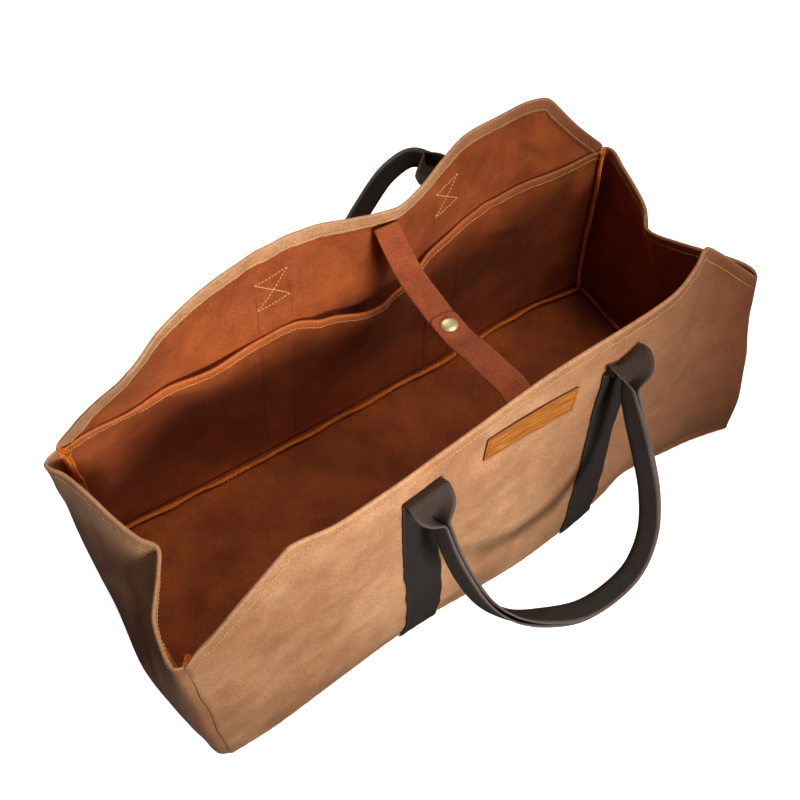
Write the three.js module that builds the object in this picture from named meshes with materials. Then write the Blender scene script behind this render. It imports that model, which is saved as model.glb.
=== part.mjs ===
import * as THREE from "three";

// Canvas log carrier: an open-topped tote of waxed canvas with two webbing handles.
// Millimetres, +Z up, +X along the length, the labelled long wall at -Y.
// The origin is the middle of the flat underside.

// Driving sizes of the bag
const LENGTH = 610;
const WIDTH = 232;
const MID_HEIGHT = 300;
const END_HEIGHT = 216;
const SHOULDER = 82;
const CANVAS = 1.8;
const HEM = 13;
const POCKET_HEM = 10;
const GAP = 0.3;
const POCKET_CLEAR = 0.8;

// Bottom edge, where each wall rolls under to its seam
const ROLL_HEIGHT = 6;
const ROLL_DEPTH = 3.5;

// Bound seam allowances that stand inside the bag
const SEAM_WIDTH = 9;
const SEAM_THICK = 2.4;
const SEAM_LEAN = 50;

// Handles: webbing sewn up the wall, turned over as a hood, then folded double as the grip
const WEBBING = 38;
const WEBBING_THICK = 2;
const HANDLE_SPREAD = 194;
const BACK_SHIFT = 2;
const STRAP_SHIFT = 12;
const HOOD_BELOW_RIM = 28;
const GRIP_WIDTH = 17;
const GRIP_THICK = 7.6;
const HOOD_LENGTH = 27;
const FOLD_LENGTH = 20;
const GRIP_REACH = 140;

// Closure strap and its snap
const STRAP = 25;
const STRAP_THICK = 2;
const STRAP_OVERLAP = 13;
const TAB_CORNER = 5;
const SNAP_DIAMETER = 15;
const SNAP_DOME = 3.2;
const STUD_DIAMETER = 12;
const STUD_HEIGHT = 3;

// Leather label
const LABEL_LENGTH = 91;
const LABEL_HEIGHT = 26;
const LABEL_THICK = 1.6;
const LABEL_BELOW_RIM = 29.5;
const LABEL_SHIFT = 8;
const LABEL_TILT = -7;

// Colours, as the material of each piece
const FINISH = {
  canvas: { color: 0xa8764f, roughness: 0.62, metalness: 0 },
  endCanvas: { color: 0x6e4530, roughness: 0.62, metalness: 0 },
  lining: { color: 0xa9581f, roughness: 0.78, metalness: 0 },
  binding: { color: 0xc2561a, roughness: 0.85, metalness: 0 },
  webbing: { color: 0x262423, roughness: 0.9, metalness: 0 },
  strap: { color: 0x96492a, roughness: 0.9, metalness: 0 },
  brass: { color: 0xd6c58c, roughness: 0.3, metalness: 1 },
  leather: { color: 0xc9812c, roughness: 0.5, metalness: 0 },
};

// Long walls. at is the place along the length, from -1 at the left end to 1 at the right.
// foot, low, waist and rim push the wall outward at four heights, as shares of WIDTH.
// slide moves the top edge along the length, as a share of LENGTH.
// lift raises the foot and drop lowers the rim, as shares of MID_HEIGHT.
const FRONT_ROWS = [
  { at: -1.0, foot: 0.022, low: 0.025, waist: -0.004, rim: -0.013, slide: -0.004, lift: 0, drop: 0 },
  { at: -0.86, foot: 0.029, low: 0.042, waist: 0.004, rim: -0.009, slide: 0.01, lift: 0, drop: 0 },
  { at: -0.73, foot: 0.02, low: 0.047, waist: 0.009, rim: 0.0, slide: 0.027, lift: 0, drop: 0 },
  { at: -0.58, foot: 0.008, low: 0.047, waist: 0.013, rim: 0.015, slide: 0.014, lift: 0, drop: 0.006 },
  { at: -0.39, foot: -0.001, low: 0.047, waist: 0.009, rim: 0.002, slide: 0.004, lift: 0, drop: 0 },
  { at: -0.26, foot: 0.003, low: 0.042, waist: 0.004, rim: -0.013, slide: 0.004, lift: 0, drop: 0 },
  { at: -0.08, foot: 0.021, low: 0.038, waist: 0.002, rim: -0.026, slide: 0.01, lift: 0, drop: 0 },
  { at: 0.1, foot: 0.03, low: 0.034, waist: -0.002, rim: -0.039, slide: 0.019, lift: 0, drop: 0 },
  { at: 0.32, foot: 0.014, low: 0.021, waist: -0.013, rim: -0.043, slide: 0.03, lift: 0.002, drop: 0 },
  { at: 0.45, foot: -0.008, low: 0.014, waist: -0.022, rim: -0.048, slide: 0.026, lift: 0.018, drop: 0 },
  { at: 0.54, foot: -0.03, low: 0.004, waist: -0.032, rim: -0.065, slide: 0.019, lift: 0.035, drop: 0 },
  { at: 0.64, foot: -0.022, low: 0.004, waist: -0.045, rim: -0.108, slide: 0.013, lift: 0.036, drop: 0 },
  { at: 0.73, foot: -0.006, low: 0.006, waist: -0.064, rim: -0.166, slide: 0.008, lift: 0.028, drop: 0.01 },
  { at: 0.83, foot: 0.008, low: 0.012, waist: -0.076, rim: -0.18, slide: 0.004, lift: 0.014, drop: 0 },
  { at: 0.93, foot: 0.034, low: 0.028, waist: -0.084, rim: -0.16, slide: 0, lift: 0.004, drop: 0 },
  { at: 1.0, foot: 0.059, low: 0.042, waist: -0.084, rim: -0.15, slide: 0, lift: 0, drop: 0 },
];
const BACK_ROWS = [
  { at: -1.0, foot: 0.1, low: 0.075, waist: -0.01, rim: -0.05, slide: 0.006, lift: 0, drop: 0 },
  { at: -0.87, foot: 0.102, low: 0.09, waist: 0.009, rim: -0.115, slide: 0.0, lift: 0, drop: 0 },
  { at: -0.73, foot: 0.092, low: 0.088, waist: 0.034, rim: -0.118, slide: -0.012, lift: 0, drop: 0.03 },
  { at: -0.62, foot: 0.08, low: 0.08, waist: 0.032, rim: -0.04, slide: -0.002, lift: 0, drop: 0.008 },
  { at: -0.48, foot: 0.07, low: 0.068, waist: 0.015, rim: 0.035, slide: 0.014, lift: 0, drop: 0 },
  { at: -0.34, foot: 0.06, low: 0.052, waist: -0.009, rim: 0.069, slide: 0.036, lift: 0, drop: 0 },
  { at: -0.17, foot: 0.052, low: 0.047, waist: -0.009, rim: 0.062, slide: 0.034, lift: 0, drop: 0 },
  { at: -0.05, foot: 0.047, low: 0.043, waist: 0.0, rim: 0.013, slide: 0.028, lift: 0, drop: 0.002 },
  { at: 0.07, foot: 0.045, low: 0.041, waist: -0.004, rim: -0.034, slide: 0.028, lift: 0, drop: 0.005 },
  { at: 0.17, foot: 0.041, low: 0.037, waist: -0.009, rim: -0.006, slide: 0.026, lift: 0, drop: 0.002 },
  { at: 0.3, foot: 0.035, low: 0.034, waist: 0.002, rim: 0.065, slide: 0.022, lift: 0, drop: 0 },
  { at: 0.42, foot: 0.037, low: 0.043, waist: 0.034, rim: 0.128, slide: 0.022, lift: 0, drop: 0.002 },
  { at: 0.56, foot: 0.047, low: 0.052, waist: 0.055, rim: 0.142, slide: 0.022, lift: 0, drop: 0.004 },
  { at: 0.66, foot: 0.05, low: 0.054, waist: 0.055, rim: 0.14, slide: 0.022, lift: 0, drop: 0.004 },
  { at: 0.73, foot: 0.047, low: 0.052, waist: 0.047, rim: 0.108, slide: 0.022, lift: 0, drop: 0.004 },
  { at: 0.86, foot: 0.026, low: 0.039, waist: 0.041, rim: 0.03, slide: 0.008, lift: 0, drop: 0 },
  { at: 1.0, foot: 0.004, low: 0.013, waist: 0.022, rim: 0.05, slide: 0.0, lift: 0, drop: 0 },
];
// Heights of the four outward columns, as shares of MID_HEIGHT
const WALL_HEIGHTS = [0, 0.23, 0.63, 1];

// End walls. at runs from 0 at the back corner to 1 at the front corner.
// foot, low and top push the wall outward at three heights, as shares of WIDTH.
const LEFT_ROWS = [
  { at: 0.0, foot: 0, low: 0, top: 0 },
  { at: 0.04, foot: 0.02, low: 0.034, top: 0.055 },
  { at: 0.12, foot: 0.034, low: 0.062, top: 0.02 },
  { at: 0.24, foot: 0.04, low: 0.075, top: -0.016 },
  { at: 0.38, foot: 0.043, low: 0.08, top: -0.05 },
  { at: 0.5, foot: 0.043, low: 0.09, top: -0.086 },
  { at: 0.565, foot: 0.043, low: 0.096, top: -0.118 },
  { at: 0.64, foot: 0.043, low: 0.1, top: -0.082 },
  { at: 0.72, foot: 0.04, low: 0.095, top: -0.03 },
  { at: 0.79, foot: 0.045, low: 0.086, top: 0.01 },
  { at: 0.9, foot: 0.042, low: 0.069, top: 0.03 },
  { at: 0.97, foot: 0.03, low: 0.036, top: 0.03 },
  { at: 1.0, foot: 0, low: 0, top: 0 },
];
const RIGHT_ROWS = [
  { at: 0.0, foot: 0, low: 0, top: 0 },
  { at: 0.05, foot: 0.01, low: 0.015, top: 0.02 },
  { at: 0.15, foot: 0.015, low: 0.028, top: -0.008 },
  { at: 0.3, foot: 0.012, low: 0.03, top: -0.056 },
  { at: 0.42, foot: 0.008, low: 0.026, top: -0.107 },
  { at: 0.5, foot: 0.006, low: 0.024, top: -0.17 },
  { at: 0.555, foot: 0.006, low: 0.024, top: -0.168 },
  { at: 0.65, foot: 0.008, low: 0.028, top: -0.122 },
  { at: 0.77, foot: 0.012, low: 0.036, top: -0.052 },
  { at: 0.88, foot: 0.018, low: 0.036, top: 0.006 },
  { at: 0.95, foot: 0.016, low: 0.026, top: 0.022 },
  { at: 1.0, foot: 0, low: 0, top: 0 },
];
// Heights of the three outward columns, as shares of END_HEIGHT
const END_HEIGHTS = [0, 0.27, 1];

// Inner pocket. gape stands its free edge off the wall, as a share of WIDTH;
// sag lowers that edge, as a share of END_HEIGHT.
const POCKET_ROWS = [
  { at: -1.0, gape: 0, sag: 0 },
  { at: -0.68, gape: 0.004, sag: 0 },
  { at: -0.52, gape: 0.028, sag: 0.014 },
  { at: -0.38, gape: 0.004, sag: 0.01 },
  { at: -0.26, gape: 0.002, sag: 0.01 },
  { at: -0.14, gape: 0.045, sag: 0.04 },
  { at: 0.0, gape: 0.088, sag: 0.085 },
  { at: 0.12, gape: 0.06, sag: 0.05 },
  { at: 0.24, gape: 0.004, sag: 0.015 },
  { at: 0.4, gape: 0.002, sag: 0.005 },
  { at: 0.6, gape: 0.006, sag: 0 },
  { at: 1.0, gape: 0, sag: 0 },
];
// Share of the pocket's height where it begins to stand off the wall
const GAPE_FROM = 0.3;

// Grips, from the left hood to the right one. across is a share of half HANDLE_SPREAD;
// away (outward of the wall) and down (below the hoods) are shares of GRIP_REACH.
// turn rolls the folded webbing about its own line, in degrees.
const FRONT_GRIP = [
  { across: -1.01, away: 0.14, down: 0.19, turn: 0 },
  { across: -1.03, away: 0.26, down: 0.32, turn: 0 },
  { across: -1.02, away: 0.4, down: 0.44, turn: 0 },
  { across: -0.96, away: 0.53, down: 0.56, turn: 0 },
  { across: -0.8, away: 0.65, down: 0.68, turn: 0 },
  { across: -0.52, away: 0.75, down: 0.78, turn: 0 },
  { across: -0.22, away: 0.82, down: 0.85, turn: 0 },
  { across: 0.09, away: 0.84, down: 0.86, turn: 0 },
  { across: 0.39, away: 0.82, down: 0.81, turn: 0 },
  { across: 0.64, away: 0.73, down: 0.7, turn: 0 },
  { across: 0.8, away: 0.58, down: 0.54, turn: 0 },
  { across: 0.87, away: 0.42, down: 0.36, turn: 0 },
  { across: 0.9, away: 0.28, down: 0.18, turn: 0 },
  { across: 0.94, away: 0.17, down: 0.05, turn: 0 },
];
const BACK_GRIP = [
  { across: -1.05, away: 0.1, down: 0.15, turn: 0 },
  { across: -1.13, away: 0.14, down: 0.36, turn: 0 },
  { across: -1.2, away: 0.17, down: 0.58, turn: 0 },
  { across: -1.16, away: 0.19, down: 0.78, turn: 0 },
  { across: -0.99, away: 0.2, down: 0.92, turn: 0 },
  { across: -0.73, away: 0.2, down: 0.85, turn: -10 },
  { across: -0.36, away: 0.2, down: 0.59, turn: -25 },
  { across: 0.0, away: 0.23, down: 0.35, turn: -45 },
  { across: 0.34, away: 0.3, down: 0.19, turn: -60 },
  { across: 0.67, away: 0.36, down: 0.08, turn: -55 },
  { across: 0.91, away: 0.33, down: 0.01, turn: -30 },
  { across: 0.99, away: 0.21, down: -0.02, turn: -8 },
];

// Slope of the plane in which each grip hangs, in degrees below level
const FRONT_GRIP_SLOPE = 45;
const BACK_GRIP_SLOPE = 80;

// Closure strap, from the back wall to the front wall. below is its depth under the top edge,
// as a share of MID_HEIGHT.
const STRAP_ROWS = [
  { at: 0, below: 0.055 },
  { at: 0.04, below: 0.078 },
  { at: 0.2, below: 0.127 },
  { at: 0.37, below: 0.13 },
  { at: 0.49, below: 0.131 },
  { at: 0.6, below: 0.117 },
  { at: 0.8, below: 0.062 },
  { at: 0.94, below: 0.024 },
  { at: 1, below: 0.042 },
];
// Where the snap sits, as a share of the way from the back wall to the front wall
const SNAP_AT = 0.5;

// How finely each sheet is cut
const WALL_COLUMNS = 32;
const WALL_BANDS = 7;
const END_COLUMNS = 18;
const END_BANDS = 7;
const POCKET_BANDS = 6;
const LEG_STEPS = 10;
const HOOD_STEPS = 6;
const GRIP_STEPS = 28;
const STRAP_STEPS = 10;
const BOTTOM_COLUMNS = 16;
const BOTTOM_BANDS = 8;

const HALF = LENGTH / 2;
const END_SHARE = END_HEIGHT / MID_HEIGHT;
const WALL_BASE = CANVAS + GAP + CANVAS / 2;

// A smooth value between listed places and values.
function smoothThrough(places, values, place) {
  const last = places.length - 1;
  let i = 0;
  while (i < last - 1 && place > places[i + 1]) {
    i += 1;
  }
  const span = places[i + 1] - places[i];
  const t = Math.min(Math.max((place - places[i]) / span, 0), 1);
  const before = Math.max(i - 1, 0);
  const after = Math.min(i + 2, last);
  const leave = (values[i + 1] - values[before]) / (places[i + 1] - places[before]);
  const arrive = (values[after] - values[i]) / (places[after] - places[i]);
  const t2 = t * t;
  const t3 = t2 * t;
  return values[i] * (2 * t3 - 3 * t2 + 1) + leave * span * (t3 - 2 * t2 + t)
    + values[i + 1] * (3 * t2 - 2 * t3) + arrive * span * (t3 - t2);
}

// One column of a table, read at a place along it.
function column(rows, name, at) {
  return smoothThrough(rows.map((row) => row.at), rows.map((row) => row[name]), at);
}

// Inward roll of a wall near its bottom seam.
function rollUnder(height) {
  const share = Math.max(1 - height / ROLL_HEIGHT, 0);
  return ROLL_DEPTH * share * share;
}

// Middle of the cloth of a long wall, at a place along it and a height above its foot.
function wallPoint(rows, side, at, height) {
  const share = height / MID_HEIGHT;
  const pushes = ["foot", "low", "waist", "rim"].map((name) => column(rows, name, at));
  const outward = WIDTH * smoothThrough(WALL_HEIGHTS, pushes, share) - rollUnder(height);
  const lift = MID_HEIGHT * column(rows, "lift", at) * (1 - share) ** 2;
  const drop = MID_HEIGHT * column(rows, "drop", at) * share ** 2;
  return new THREE.Vector3(
    at * HALF + LENGTH * column(rows, "slide", at) * share ** 3,
    side * (WIDTH / 2 + outward),
    WALL_BASE + height + lift - drop,
  );
}

function frontPoint(at, height) {
  return wallPoint(FRONT_ROWS, -1, at, height);
}

function backPoint(at, height) {
  return wallPoint(BACK_ROWS, 1, at, height);
}

// Height of the top edge of a long wall: level in the middle, sloping down to the corners.
function topEdge(at) {
  const fromEnd = HALF * (1 - Math.abs(at));
  const share = Math.min(fromEnd / SHOULDER, 1);
  return END_HEIGHT + (MID_HEIGHT - END_HEIGHT) * share - WALL_BASE;
}

// Middle of the cloth of an end wall, from the back corner to the front corner.
function endPoint(rows, side, across, height) {
  const corner = side * (1 - CANVAS / LENGTH);
  const back = backPoint(corner, height);
  const front = frontPoint(corner, height);
  const share = height / (END_HEIGHT - WALL_BASE);
  const pushes = ["foot", "low", "top"].map((name) => column(rows, name, across));
  const outward = WIDTH * smoothThrough(END_HEIGHTS, pushes, share);
  const point = back.lerp(front, across);
  const roll = rollUnder(height) * Math.min(1, 8 * across, 8 * (1 - across));
  point.x += side * (outward - roll);
  return point;
}

// Outward unit normal of a sheet given by a function of two parameters.
function normalOf(surface, s, t, side) {
  const step = 0.002;
  const alongS = surface(Math.min(s + step, 1), t).sub(surface(Math.max(s - step, 0), t));
  const alongT = surface(s, Math.min(t + step, 1)).sub(surface(s, Math.max(t - step, 0)));
  return alongS.cross(alongT).normalize().multiplyScalar(side);
}

// Closed mesh from rings of points, each ring with the same count, capped at both ends.
function loft(rings) {
  const positions = [];
  const count = rings[0].length;
  const push = (a, b, c) => positions.push(a.x, a.y, a.z, b.x, b.y, b.z, c.x, c.y, c.z);
  for (let i = 0; i < rings.length - 1; i += 1) {
    for (let j = 0; j < count; j += 1) {
      const k = (j + 1) % count;
      push(rings[i][j], rings[i][k], rings[i + 1][k]);
      push(rings[i][j], rings[i + 1][k], rings[i + 1][j]);
    }
  }
  capRing(rings[0], true, push);
  capRing(rings[rings.length - 1], false, push);
  return closedGeometry(positions);
}

// Cap of a strip-shaped ring, whose first half is one face and second half the other, reversed.
function capRing(ring, flip, push) {
  const count = ring.length;
  for (let j = 0; j < count / 2 - 1; j += 1) {
    const a = ring[j];
    const b = ring[j + 1];
    const c = ring[count - 2 - j];
    const d = ring[count - 1 - j];
    if (flip) {
      push(a, c, b);
      push(a, d, c);
    } else {
      push(a, b, c);
      push(a, c, d);
    }
  }
}

// Turns the faces outward when the enclosed volume comes out negative.
function closedGeometry(positions) {
  let volume = 0;
  for (let i = 0; i < positions.length; i += 9) {
    const a = new THREE.Vector3(positions[i], positions[i + 1], positions[i + 2]);
    const b = new THREE.Vector3(positions[i + 3], positions[i + 4], positions[i + 5]);
    const c = new THREE.Vector3(positions[i + 6], positions[i + 7], positions[i + 8]);
    volume += a.dot(b.cross(c));
  }
  if (volume < 0) {
    for (let i = 0; i < positions.length; i += 9) {
      for (let k = 0; k < 3; k += 1) {
        const kept = positions[i + 3 + k];
        positions[i + 3 + k] = positions[i + 6 + k];
        positions[i + 6 + k] = kept;
      }
    }
  }
  const geometry = new THREE.BufferGeometry();
  geometry.setAttribute("position", new THREE.Float32BufferAttribute(positions, 3));
  geometry.computeVertexNormals();
  return geometry;
}

// Closed sheet of cloth. Each place in columns gives one ring that runs up the outer face and
// down the inner face; levels lists the height share and the inward thickness at each step.
function sheet(surface, side, columns, levelsAt) {
  const rings = columns.map((s) => {
    const levels = levelsAt(s);
    const outer = [];
    const inner = [];
    for (const { t, inward } of levels) {
      const middle = surface(s, t);
      const normal = normalOf(surface, s, t, side);
      outer.push(middle.clone().addScaledVector(normal, CANVAS / 2));
      inner.push(middle.clone().addScaledVector(normal, -inward));
    }
    return outer.concat(inner.reverse());
  });
  return loft(rings);
}

// Evenly spaced values from 0 to 1, with extra ones added and sorted in.
function spaced(count, extra) {
  const list = [];
  for (let i = 0; i <= count; i += 1) {
    list.push(i / count);
  }
  for (const value of extra) {
    const near = list.findIndex((kept) => Math.abs(kept - value) < 0.4 / count);
    if (near > 0 && near < list.length - 1) {
      list[near] = value;
    } else {
      list.push(value);
    }
  }
  return list.sort((a, b) => a - b);
}

// Levels of a hemmed sheet: the roll at the foot, even bands, and the doubled hem at the top.
function hemmedLevels(height, bands, hem, foot) {
  const thin = CANVAS / 2;
  const levels = foot.map((level) => ({ t: level / height, inward: thin }));
  const start = foot[foot.length - 1];
  const end = height - hem - GAP;
  for (let i = 1; i <= bands; i += 1) {
    levels.push({ t: (start + ((end - start) * i) / bands) / height, inward: thin });
  }
  levels.push({ t: (height - hem) / height, inward: thin + CANVAS });
  levels.push({ t: 1, inward: thin + CANVAS });
  return levels;
}

// Long wall, with its top edge turned in as a hem.
function longWall(point, side) {
  const surface = (s, t) => {
    const at = 2 * s - 1;
    return point(at, t * topEdge(at));
  };
  const kink = SHOULDER / LENGTH;
  const columns = spaced(WALL_COLUMNS, [kink, 1 - kink]);
  const foot = [0, ROLL_HEIGHT / 3, ROLL_HEIGHT];
  return sheet(surface, -side, columns, (s) => {
    return hemmedLevels(topEdge(2 * s - 1), WALL_BANDS, HEM, foot);
  });
}

// Extra room that a piece needs beside a hem, near a top edge of the given height.
function hemClear(top, height) {
  const share = (height - (top - HEM - 4 * CANVAS)) / (3 * CANVAS);
  return CANVAS * Math.min(Math.max(share, 0), 1);
}

// End wall, set between the long walls.
function endWall(rows, side) {
  const tall = END_HEIGHT - WALL_BASE;
  const surface = (s, t) => {
    const inset = (1.2 * CANVAS + GAP + hemClear(tall, t * tall)) / WIDTH;
    return endPoint(rows, side, inset + s * (1 - 2 * inset), t * tall);
  };
  const foot = [0, ROLL_HEIGHT / 3, ROLL_HEIGHT];
  const tip = rows.reduce((a, b) => (b.top < a.top ? b : a)).at;
  return sheet(surface, -side, spaced(END_COLUMNS, [tip]), () => {
    return hemmedLevels(tall, END_BANDS, HEM, foot);
  });
}

// Middle of the pocket's cloth, on the inner face of the back wall.
const POCKET_TALL = END_HEIGHT - WALL_BASE - ROLL_HEIGHT;
const POCKET_END = 1 - (2 * (2 * CANVAS + 6 * GAP)) / LENGTH;
function pocketPoint(at, share) {
  const free = Math.max((share - GAPE_FROM) / (1 - GAPE_FROM), 0);
  const curve = free * free * (3 - 2 * free);
  const sag = END_HEIGHT * column(POCKET_ROWS, "sag", at) * share ** 2;
  const height = ROLL_HEIGHT + share * POCKET_TALL - sag;
  const flat = (s, t) => backPoint(2 * s - 1, t * MID_HEIGHT);
  const normal = normalOf(flat, (at + 1) / 2, height / MID_HEIGHT, -1);
  const point = backPoint(at, height);
  point.addScaledVector(normal, -CANVAS - POCKET_CLEAR - hemClear(topEdge(at), height));
  point.y -= WIDTH * column(POCKET_ROWS, "gape", at) * curve;
  return point;
}

function pocketPanel() {
  const surface = (s, t) => pocketPoint(Math.max(Math.min(2 * s - 1, POCKET_END), -POCKET_END), t);
  const kink = SHOULDER / LENGTH;
  return sheet(surface, -1, spaced(WALL_COLUMNS, [kink, 1 - kink]), () => {
    return hemmedLevels(POCKET_TALL, POCKET_BANDS, POCKET_HEM, [0]);
  });
}

// Flat bottom, whose outline follows the feet of the four walls. Where the front wall's foot
// is lifted, the bottom rises to it over the last part of the width.
const LIFT_FROM = 0.72;
function bottomPanel() {
  const surface = (s, t) => {
    const at = 2 * s - 1;
    const left = endPoint(LEFT_ROWS, -1, t, 0);
    const right = endPoint(RIGHT_ROWS, 1, t, 0);
    const back = backPoint(at, 0);
    const front = frontPoint(at, 0);
    const lift = MID_HEIGHT * column(FRONT_ROWS, "lift", at);
    const near = Math.max((t - LIFT_FROM) / (1 - LIFT_FROM), 0);
    return new THREE.Vector3(
      left.x + (right.x - left.x) * s,
      back.y + (front.y - back.y) * t,
      CANVAS / 2 + lift * near * near,
    );
  };
  const rings = spaced(BOTTOM_COLUMNS, []).map((s) => {
    const upper = [];
    const lower = [];
    for (const t of spaced(BOTTOM_BANDS, [LIFT_FROM, 0.8, 0.93])) {
      const middle = surface(s, t);
      upper.push(new THREE.Vector3(middle.x, middle.y, middle.z + CANVAS / 2));
      lower.push(new THREE.Vector3(middle.x, middle.y, middle.z - CANVAS / 2));
    }
    return upper.concat(lower.reverse());
  });
  return loft(rings);
}

// Bound allowance along a bottom seam, standing into the bag at a slant.
function bottomSeam(footPoint, inwardOf, reach) {
  const steps = 14;
  const rings = [];
  for (let i = 0; i <= steps; i += 1) {
    const place = -reach + (2 * reach * i) / steps;
    const foot = footPoint(place);
    const inward = inwardOf(place);
    const up = new THREE.Vector3(0, 0, 1);
    const lean = THREE.MathUtils.degToRad(SEAM_LEAN);
    const along = inward.clone().multiplyScalar(Math.cos(lean)).addScaledVector(up, Math.sin(lean));
    const face = up.clone().multiplyScalar(Math.cos(lean)).addScaledVector(inward, -Math.sin(lean));
    const start = foot.clone().addScaledVector(inward, CANVAS + 4 * GAP);
    const half = SEAM_THICK / 2;
    rings.push([
      start.clone().addScaledVector(face, half),
      start.clone().addScaledVector(along, SEAM_WIDTH).addScaledVector(face, half),
      start.clone().addScaledVector(along, SEAM_WIDTH).addScaledVector(face, -half),
      start.clone().addScaledVector(face, -half),
    ]);
  }
  return loft(rings);
}

// Bound allowance in an upright corner, standing diagonally into the bag.
function cornerSeam(sideX, sideY, stand) {
  const steps = 8;
  const bottom = ROLL_HEIGHT + SEAM_WIDTH;
  const tall = END_HEIGHT - WALL_BASE;
  const point = sideY > 0 ? backPoint : frontPoint;
  const inward = new THREE.Vector3(-sideX, -sideY, 0).normalize();
  const face = new THREE.Vector3(sideY, -sideX, 0).normalize();
  const rings = [];
  for (let i = 0; i <= steps; i += 1) {
    const height = bottom + ((tall - bottom - GAP) * i) / steps;
    const corner = point(sideX * (1 - CANVAS / LENGTH), height);
    const start = stand + Math.SQRT2 * hemClear(tall, height);
    const near = corner.clone().addScaledVector(inward, start);
    const far = near.clone().addScaledVector(inward, SEAM_WIDTH);
    const half = SEAM_THICK / 2;
    rings.push([
      near.clone().addScaledVector(face, half),
      far.clone().addScaledVector(face, half),
      far.clone().addScaledVector(face, -half),
      near.clone().addScaledVector(face, -half),
    ]);
  }
  return loft(rings);
}

// Section of the webbing: shares of its half width, and of its half thickness there.
const WEBBING_SECTION = [
  { across: -1, thick: 0.5 },
  { across: -0.86, thick: 1 },
  { across: -0.3, thick: 1 },
  { across: 0.3, thick: 1 },
  { across: 0.86, thick: 1 },
  { across: 1, thick: 0.5 },
];

// Ring of webbing about a middle point, with its width and face directions.
function webbingRing({ middle, across, face, width, thick }) {
  const place = (row, facing) => middle.clone()
    .addScaledVector(across, (row.across * width) / 2)
    .addScaledVector(face, (facing * row.thick * thick) / 2);
  const outer = WEBBING_SECTION.map((row) => place(row, 1));
  const inner = WEBBING_SECTION.map((row) => place(row, -1));
  return outer.concat(inner.reverse());
}

// Rings of the leg that is sewn up the outer face of a wall.
function legRings(point, side, middleAt) {
  const top = MID_HEIGHT - WALL_BASE - HOOD_BELOW_RIM - WEBBING_THICK;
  const clear = (CANVAS + WEBBING_THICK) / 2 + 4 * GAP;
  const surface = (s, t) => point(2 * s - 1, t * MID_HEIGHT);
  const rings = [];
  for (let i = 0; i <= LEG_STEPS; i += 1) {
    const height = ROLL_HEIGHT + ((top - ROLL_HEIGHT) * i) / LEG_STEPS;
    const outer = [];
    const inner = [];
    for (const row of WEBBING_SECTION) {
      const at = middleAt + (row.across * WEBBING) / LENGTH;
      const s = (at + 1) / 2;
      const normal = normalOf(surface, s, height / MID_HEIGHT, -side);
      const half = (row.thick * WEBBING_THICK) / 2;
      outer.push(point(at, height).addScaledVector(normal, clear + half));
      inner.push(point(at, height).addScaledVector(normal, clear - half));
    }
    rings.push(outer.concat(inner.reverse()));
  }
  return rings;
}

// Places from 0 to 1, closer together within a share of each end.
function spacedEnds(middleSteps, endSteps, end) {
  const places = [];
  for (let i = 0; i < endSteps; i += 1) places.push((end * i) / endSteps);
  for (let i = 0; i <= middleSteps; i += 1) places.push(end + ((1 - 2 * end) * i) / middleSteps);
  for (let i = 1; i <= endSteps; i += 1) places.push(1 - end + (end * i) / endSteps);
  return places;
}

// Turn of the webbing at the top of a hood, in webbing thicknesses from the top of the leg
const CROWN_ROWS = [
  { up: 1.4, out: 1.9 },
  { up: 2, out: 3.9 },
];

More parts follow.
